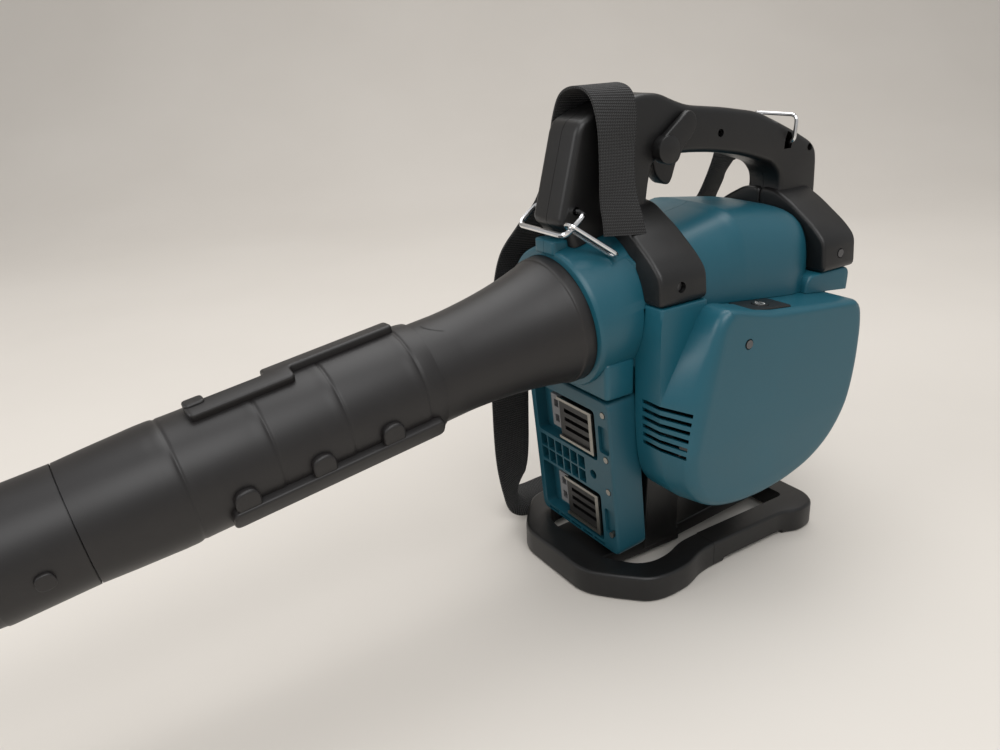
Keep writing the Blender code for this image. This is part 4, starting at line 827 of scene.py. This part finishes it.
def makeControls():
    outline = [(0.0850, 0.3490), (0.0830, 0.3440), (0.0840, 0.3390), (0.0880, 0.3300), (0.0905, 0.3205),
               (0.0985, 0.3130), (0.1045, 0.3120), (0.1075, 0.3160), (0.1120, 0.3290), (0.1165, 0.3350),
               (0.1165, 0.3460), (0.1000, 0.3490)]
    trigger = carve(plate(fillet(outline, 0.006), -0.0062, 0.0062, 0.0016),
                    ("DIFFERENCE", acrossY(*handle["trigger"], -0.01, 0.01, 0.0023)))
    settle(trigger, "trigger_fine", "black", ["trigger"], "trigger")
    x, z = handle["lever"]
    h = handle["half"]
    arm = [(0.0770, 0.3350), (0.0880, 0.3300), (0.0960, 0.3320), (0.1000, 0.3420), (0.1100, 0.3500),
           (0.1140, 0.3580),
           (0.1115, 0.3660), (0.1050, 0.3690), (0.0900, 0.3580), (0.0790, 0.3500)]
    boss = turned([(-h - 0.0004, 0.0105), (-h - 0.0072, 0.0105), (-h - 0.0081, 0.0101),
                   (-h - 0.0085, 0.0092)],
                  ((x, 0, z), (0, 1, 0), (0, 0, 1)), 64)
    lever = carve(boss, ("UNION", plate(fillet(arm, 0.005), -h - 0.0070, -h - 0.0012, 0.0014)),
                  ("UNION", acrossY(x, z, -h - 0.002, -0.0130, 0.0040)))
    settle(lever, "control_lever_fine", "black", ["control_lever"], "control_lever", 35)


makeHandle()
makeControls()
clearHelpers()
print("handle ready")


# power key on the ledge: plate, key and a printed ring with a bar
def makeKey():
    panel = block((-0.0222, -0.0122, -0.0010), (0.0222, 0.0122, 0.0008), 0.0030, 0.0004, "XY", keySeat)
    up = keySeat.to_3x3() @ Vector((0, 0, 1))
    front = keySeat.to_3x3() @ Vector((1, 0, 0))
    panel = carve(panel, ("DIFFERENCE", turned([(-0.01, 0.0068), (0.01, 0.0068)],
                                               (keySeat.translation, up, front), 48)))
    settle(panel, "power_panel_fine", "black", ["power_panel"])
    key = turned([(-0.0007, 0.0064), (0.0010, 0.0064), (0.0014, 0.0060), (0.0013, 0.0030)],
                 (keySeat.translation, up, front), 48)
    settle(key, "power_button_fine", "black", ["power_button"], "power_button")
    a = np.linspace(radians(40), radians(320), 40)[None, :, None]
    middle = np.array(keySeat.translation) + 0.00150 * np.array(up)
    u, v = np.array(front), np.array(keySeat.to_3x3() @ Vector((0, 1, 0)))
    r = np.array([0.0030, 0.0038])[:, None, None]
    ring = meshPiece("power_mark_ring", middle + r * (np.cos(a) * v + np.sin(a) * u),
                     gridFaces(2, 40, False, False),
                     "pale", "power_button")
    bar = middle + np.array([(-0.0004, 0.0012), (0.0004, 0.0012), (0.0004, 0.0048),
                             (-0.0004, 0.0048)]) @ np.array([u, v])
    bar = meshPiece("power_mark_bar", bar, [(0, 1, 2, 3)], "pale", "power_button")


makeKey()
print("key ready")
clearHelpers()


# battery block
blockPlace = Matrix.Translation((0.0100, 0, 0.1470)) @ Matrix.Rotation(radians(-5), 4, "Y")
bays = {"middles": (-0.0155, -0.0915), "half": 22.5 * mm, "recessHalf": 12 * mm}
lattice = {"rows": 2, "columns": 6, "stepY": 10.4 * mm, "stepZ": 13.2 * mm, "cell": (8.8 * mm, 11.6 * mm)}


def makeBlock():
    steps = []
    for middle in bays["middles"]:
        low, high = middle - bays["half"], middle + bays["half"]
        steps.append(("DIFFERENCE", block((-0.01, -0.0300, low), (0.0100, 0.0500, high), 0.004, 0.0, "YZ",
                                          blockPlace)))
        low, high = middle - bays["recessHalf"], middle + bays["recessHalf"]
        steps.append(("DIFFERENCE", block((-0.01, -0.0455, low), (0.0030, -0.0335, high), 0.003, 0.0, "YZ",
                                          blockPlace)))
    wide, tall = lattice["cell"]
    for row in range(lattice["rows"]):
        for column in range(lattice["columns"]):
            y, z = -0.0120 + lattice["stepY"] * column, -0.0665 + lattice["stepZ"] * row
            steps.append(("DIFFERENCE", block((-0.01, y, z), (0.0060, y + wide, z + tall), 0.0008, 0.0, "YZ",
                                              blockPlace)))
    for column in range(5):
        y = -0.0300 + 0.0160 * column
        steps.append(("DIFFERENCE", block((-0.01, y, -0.1190), (0.0040, y + 0.0135, -0.1166), 0.0006, 0.0,
                                          "YZ",
                                          blockPlace)))
    along = blockPlace.to_3x3() @ Vector((1, 0, 0))
    up = blockPlace.to_3x3() @ Vector((0, 0, 1))
    hole = blockPlace @ Vector((0, -0.0225, -0.0530))
    steps.append(("DIFFERENCE", turned([(-0.01, 0.0040), (0.0080, 0.0040)], (hole, along, up), 32)))
    for z in (0.154, 0.1145, 0.0850, 0.0440):
        at = blockPlace @ Vector((0, -0.0405, z - 0.147))
        steps.append(("DIFFERENCE", turned([(-0.01, 0.0030), (0.0060, 0.0030)], (at, along, up), 24)))
    body = carve(block((0, -0.0480, -0.1220), (0.0300, 0.0580, 0.0190), 0.008, 0.0026, "YZ", blockPlace),
                 *steps)
    settle(body, "battery_housing_fine", "tealDark", ["battery_housing"], smoothAngle=28)


makeBlock()
clearHelpers()
print("block ready")


# stand: two loops that meet at the seam, with a floor plate and a leg each
stand = {"height": 23 * mm, "edge": 3 * mm, "seam": 0.1000, "plate": (6 * mm, 19 * mm)}


# Half outline and its reflection across the middle plane, as one loop.
def mirror(line):
    return line + [(x, -y) for x, y in line[::-1]]


def makeStand():
    outer = [(-0.0120, -0.0400), (0.0030, -0.0600), (0.0240, -0.0820), (0.0400, -0.0860), (0.0640, -0.0850),
             (0.0820, -0.0780), (0.0960, -0.0760), (0.1300, -0.0760)]
    inner = [(0.12, -0.0550), (0.0780, -0.0570), (0.0600, -0.0640), (0.0430, -0.0650), (0.0300, -0.0600),
             (0.0120, -0.0360)]
    loop = carve(plate(fillet(mirror(outer), 0.012, 6), 0.0, stand["height"], stand["edge"], "XY"),
                 ("DIFFERENCE", plate(fillet(mirror(inner), 0.012, 6), -0.01, 0.05, 0.0, "XY")),
                 ("DIFFERENCE", block((stand["seam"], -0.2, -0.01), (0.2, 0.2, 0.1), 0.0, 0.0, "XY")),
                 ("UNION", plate([(0.0, -0.030), (0.0996, -0.034), (0.0996, 0.034), (0.0, 0.030)],
                                 *stand["plate"], 0.0015,
                                 "XY")),
                 ("UNION", carve(plate([(0.0600, 0.010), (0.0996, 0.010), (0.0996, 0.1050),
                                        (0.0640, 0.1200)], -0.0340,
                                       0.0340, 0.003), ("DIFFERENCE", drumShell(gap)))))
    settle(loop, "stand_front_fine", "black", ["stand_front"])
    outer = [(0.06, -0.0760), (0.1850, -0.0760), (0.2000, -0.0830), (0.2200, -0.0800), (0.2290, -0.0660)]
    inner = [(0.05, -0.0550), (0.1950, -0.0560), (0.2080, -0.0560)]
    loop = carve(plate(fillet(mirror(outer), 0.010, 6), 0.0, stand["height"], stand["edge"], "XY"),
                 ("DIFFERENCE", plate(fillet(mirror(inner), 0.008, 6), -0.01, 0.05, 0.0, "XY")),
                 ("DIFFERENCE", block((0.0, -0.2, -0.01), (stand["seam"] + gap, 0.2, 0.1), 0.0, 0.0, "XY")),
                 ("DIFFERENCE", block((0.1120, -0.1, -0.01), (0.1860, 0.1, 0.0045), 0.0, 0.002, "XY")),
                 ("DIFFERENCE", block((0.1900, -0.0600, -0.01), (0.2600, 0.0600, 0.0045), 0.0, 0.002, "XY")),
                 ("UNION", plate([(0.1004, -0.030), (0.2100, -0.022), (0.2100, 0.022), (0.1004, 0.030)],
                                 *stand["plate"],
                                 0.0015, "XY")),
                 ("UNION", carve(plate([(0.1650, 0.010), (0.1950, 0.010), (0.1900, 0.1250),
                                        (0.1600, 0.1200)], -0.0220,
                                       0.0220, 0.003), ("DIFFERENCE", drumShell(gap)))))
    settle(loop, "stand_rear_fine", "black", ["stand_rear"])


makeStand()
clearHelpers()
print("stand ready")


# every CAD node gets its finish
nodeFinish = {"housing_left": "teal", "housing_right": "teal", "motor_cover": "teal",
              "battery_housing": "tealDark",
              "front_ring": "chrome", "rear_ring": "chrome", "snap_hook_front": "chrome",
              "snap_hook_rear": "chrome",
              "outlet_pipe": "tube", "nozzle_sleeve": "tube", "nozzle_tip": "tube",
              "controller_board": "board",
              "motor_stator": "copper", "contact_rails_upper": "contact", "contact_rails_lower": "contact",
              "block_screw_1": "contact", "block_screw_2": "contact", "block_screw_3": "contact",
              "block_screw_4": "contact",
              "latch_plate_upper": "grey", "latch_plate_lower": "grey", "motor_bracket": "grey"}


def dressNodes():
    for name, obj in nodes.items():
        steel = "screw" in name or "bearing" in name or "pin" in name or "shaft" in name or "rotor" in name \
            or name in ("fan_nut", "trigger_spring")
        finish = nodeFinish.get(name, "steel" if steel else "black")
        obj.data.materials.clear()
        obj.data.materials.append(finishes[finish])
        obj.data.shade_smooth()
        merge = obj.modifiers.new("merge", "WELD")
        merge.merge_threshold = 0.00001
        split = obj.modifiers.new("edges", "EDGE_SPLIT")
        split.split_angle = radians(32)


dressNodes()
print("frame dressed")
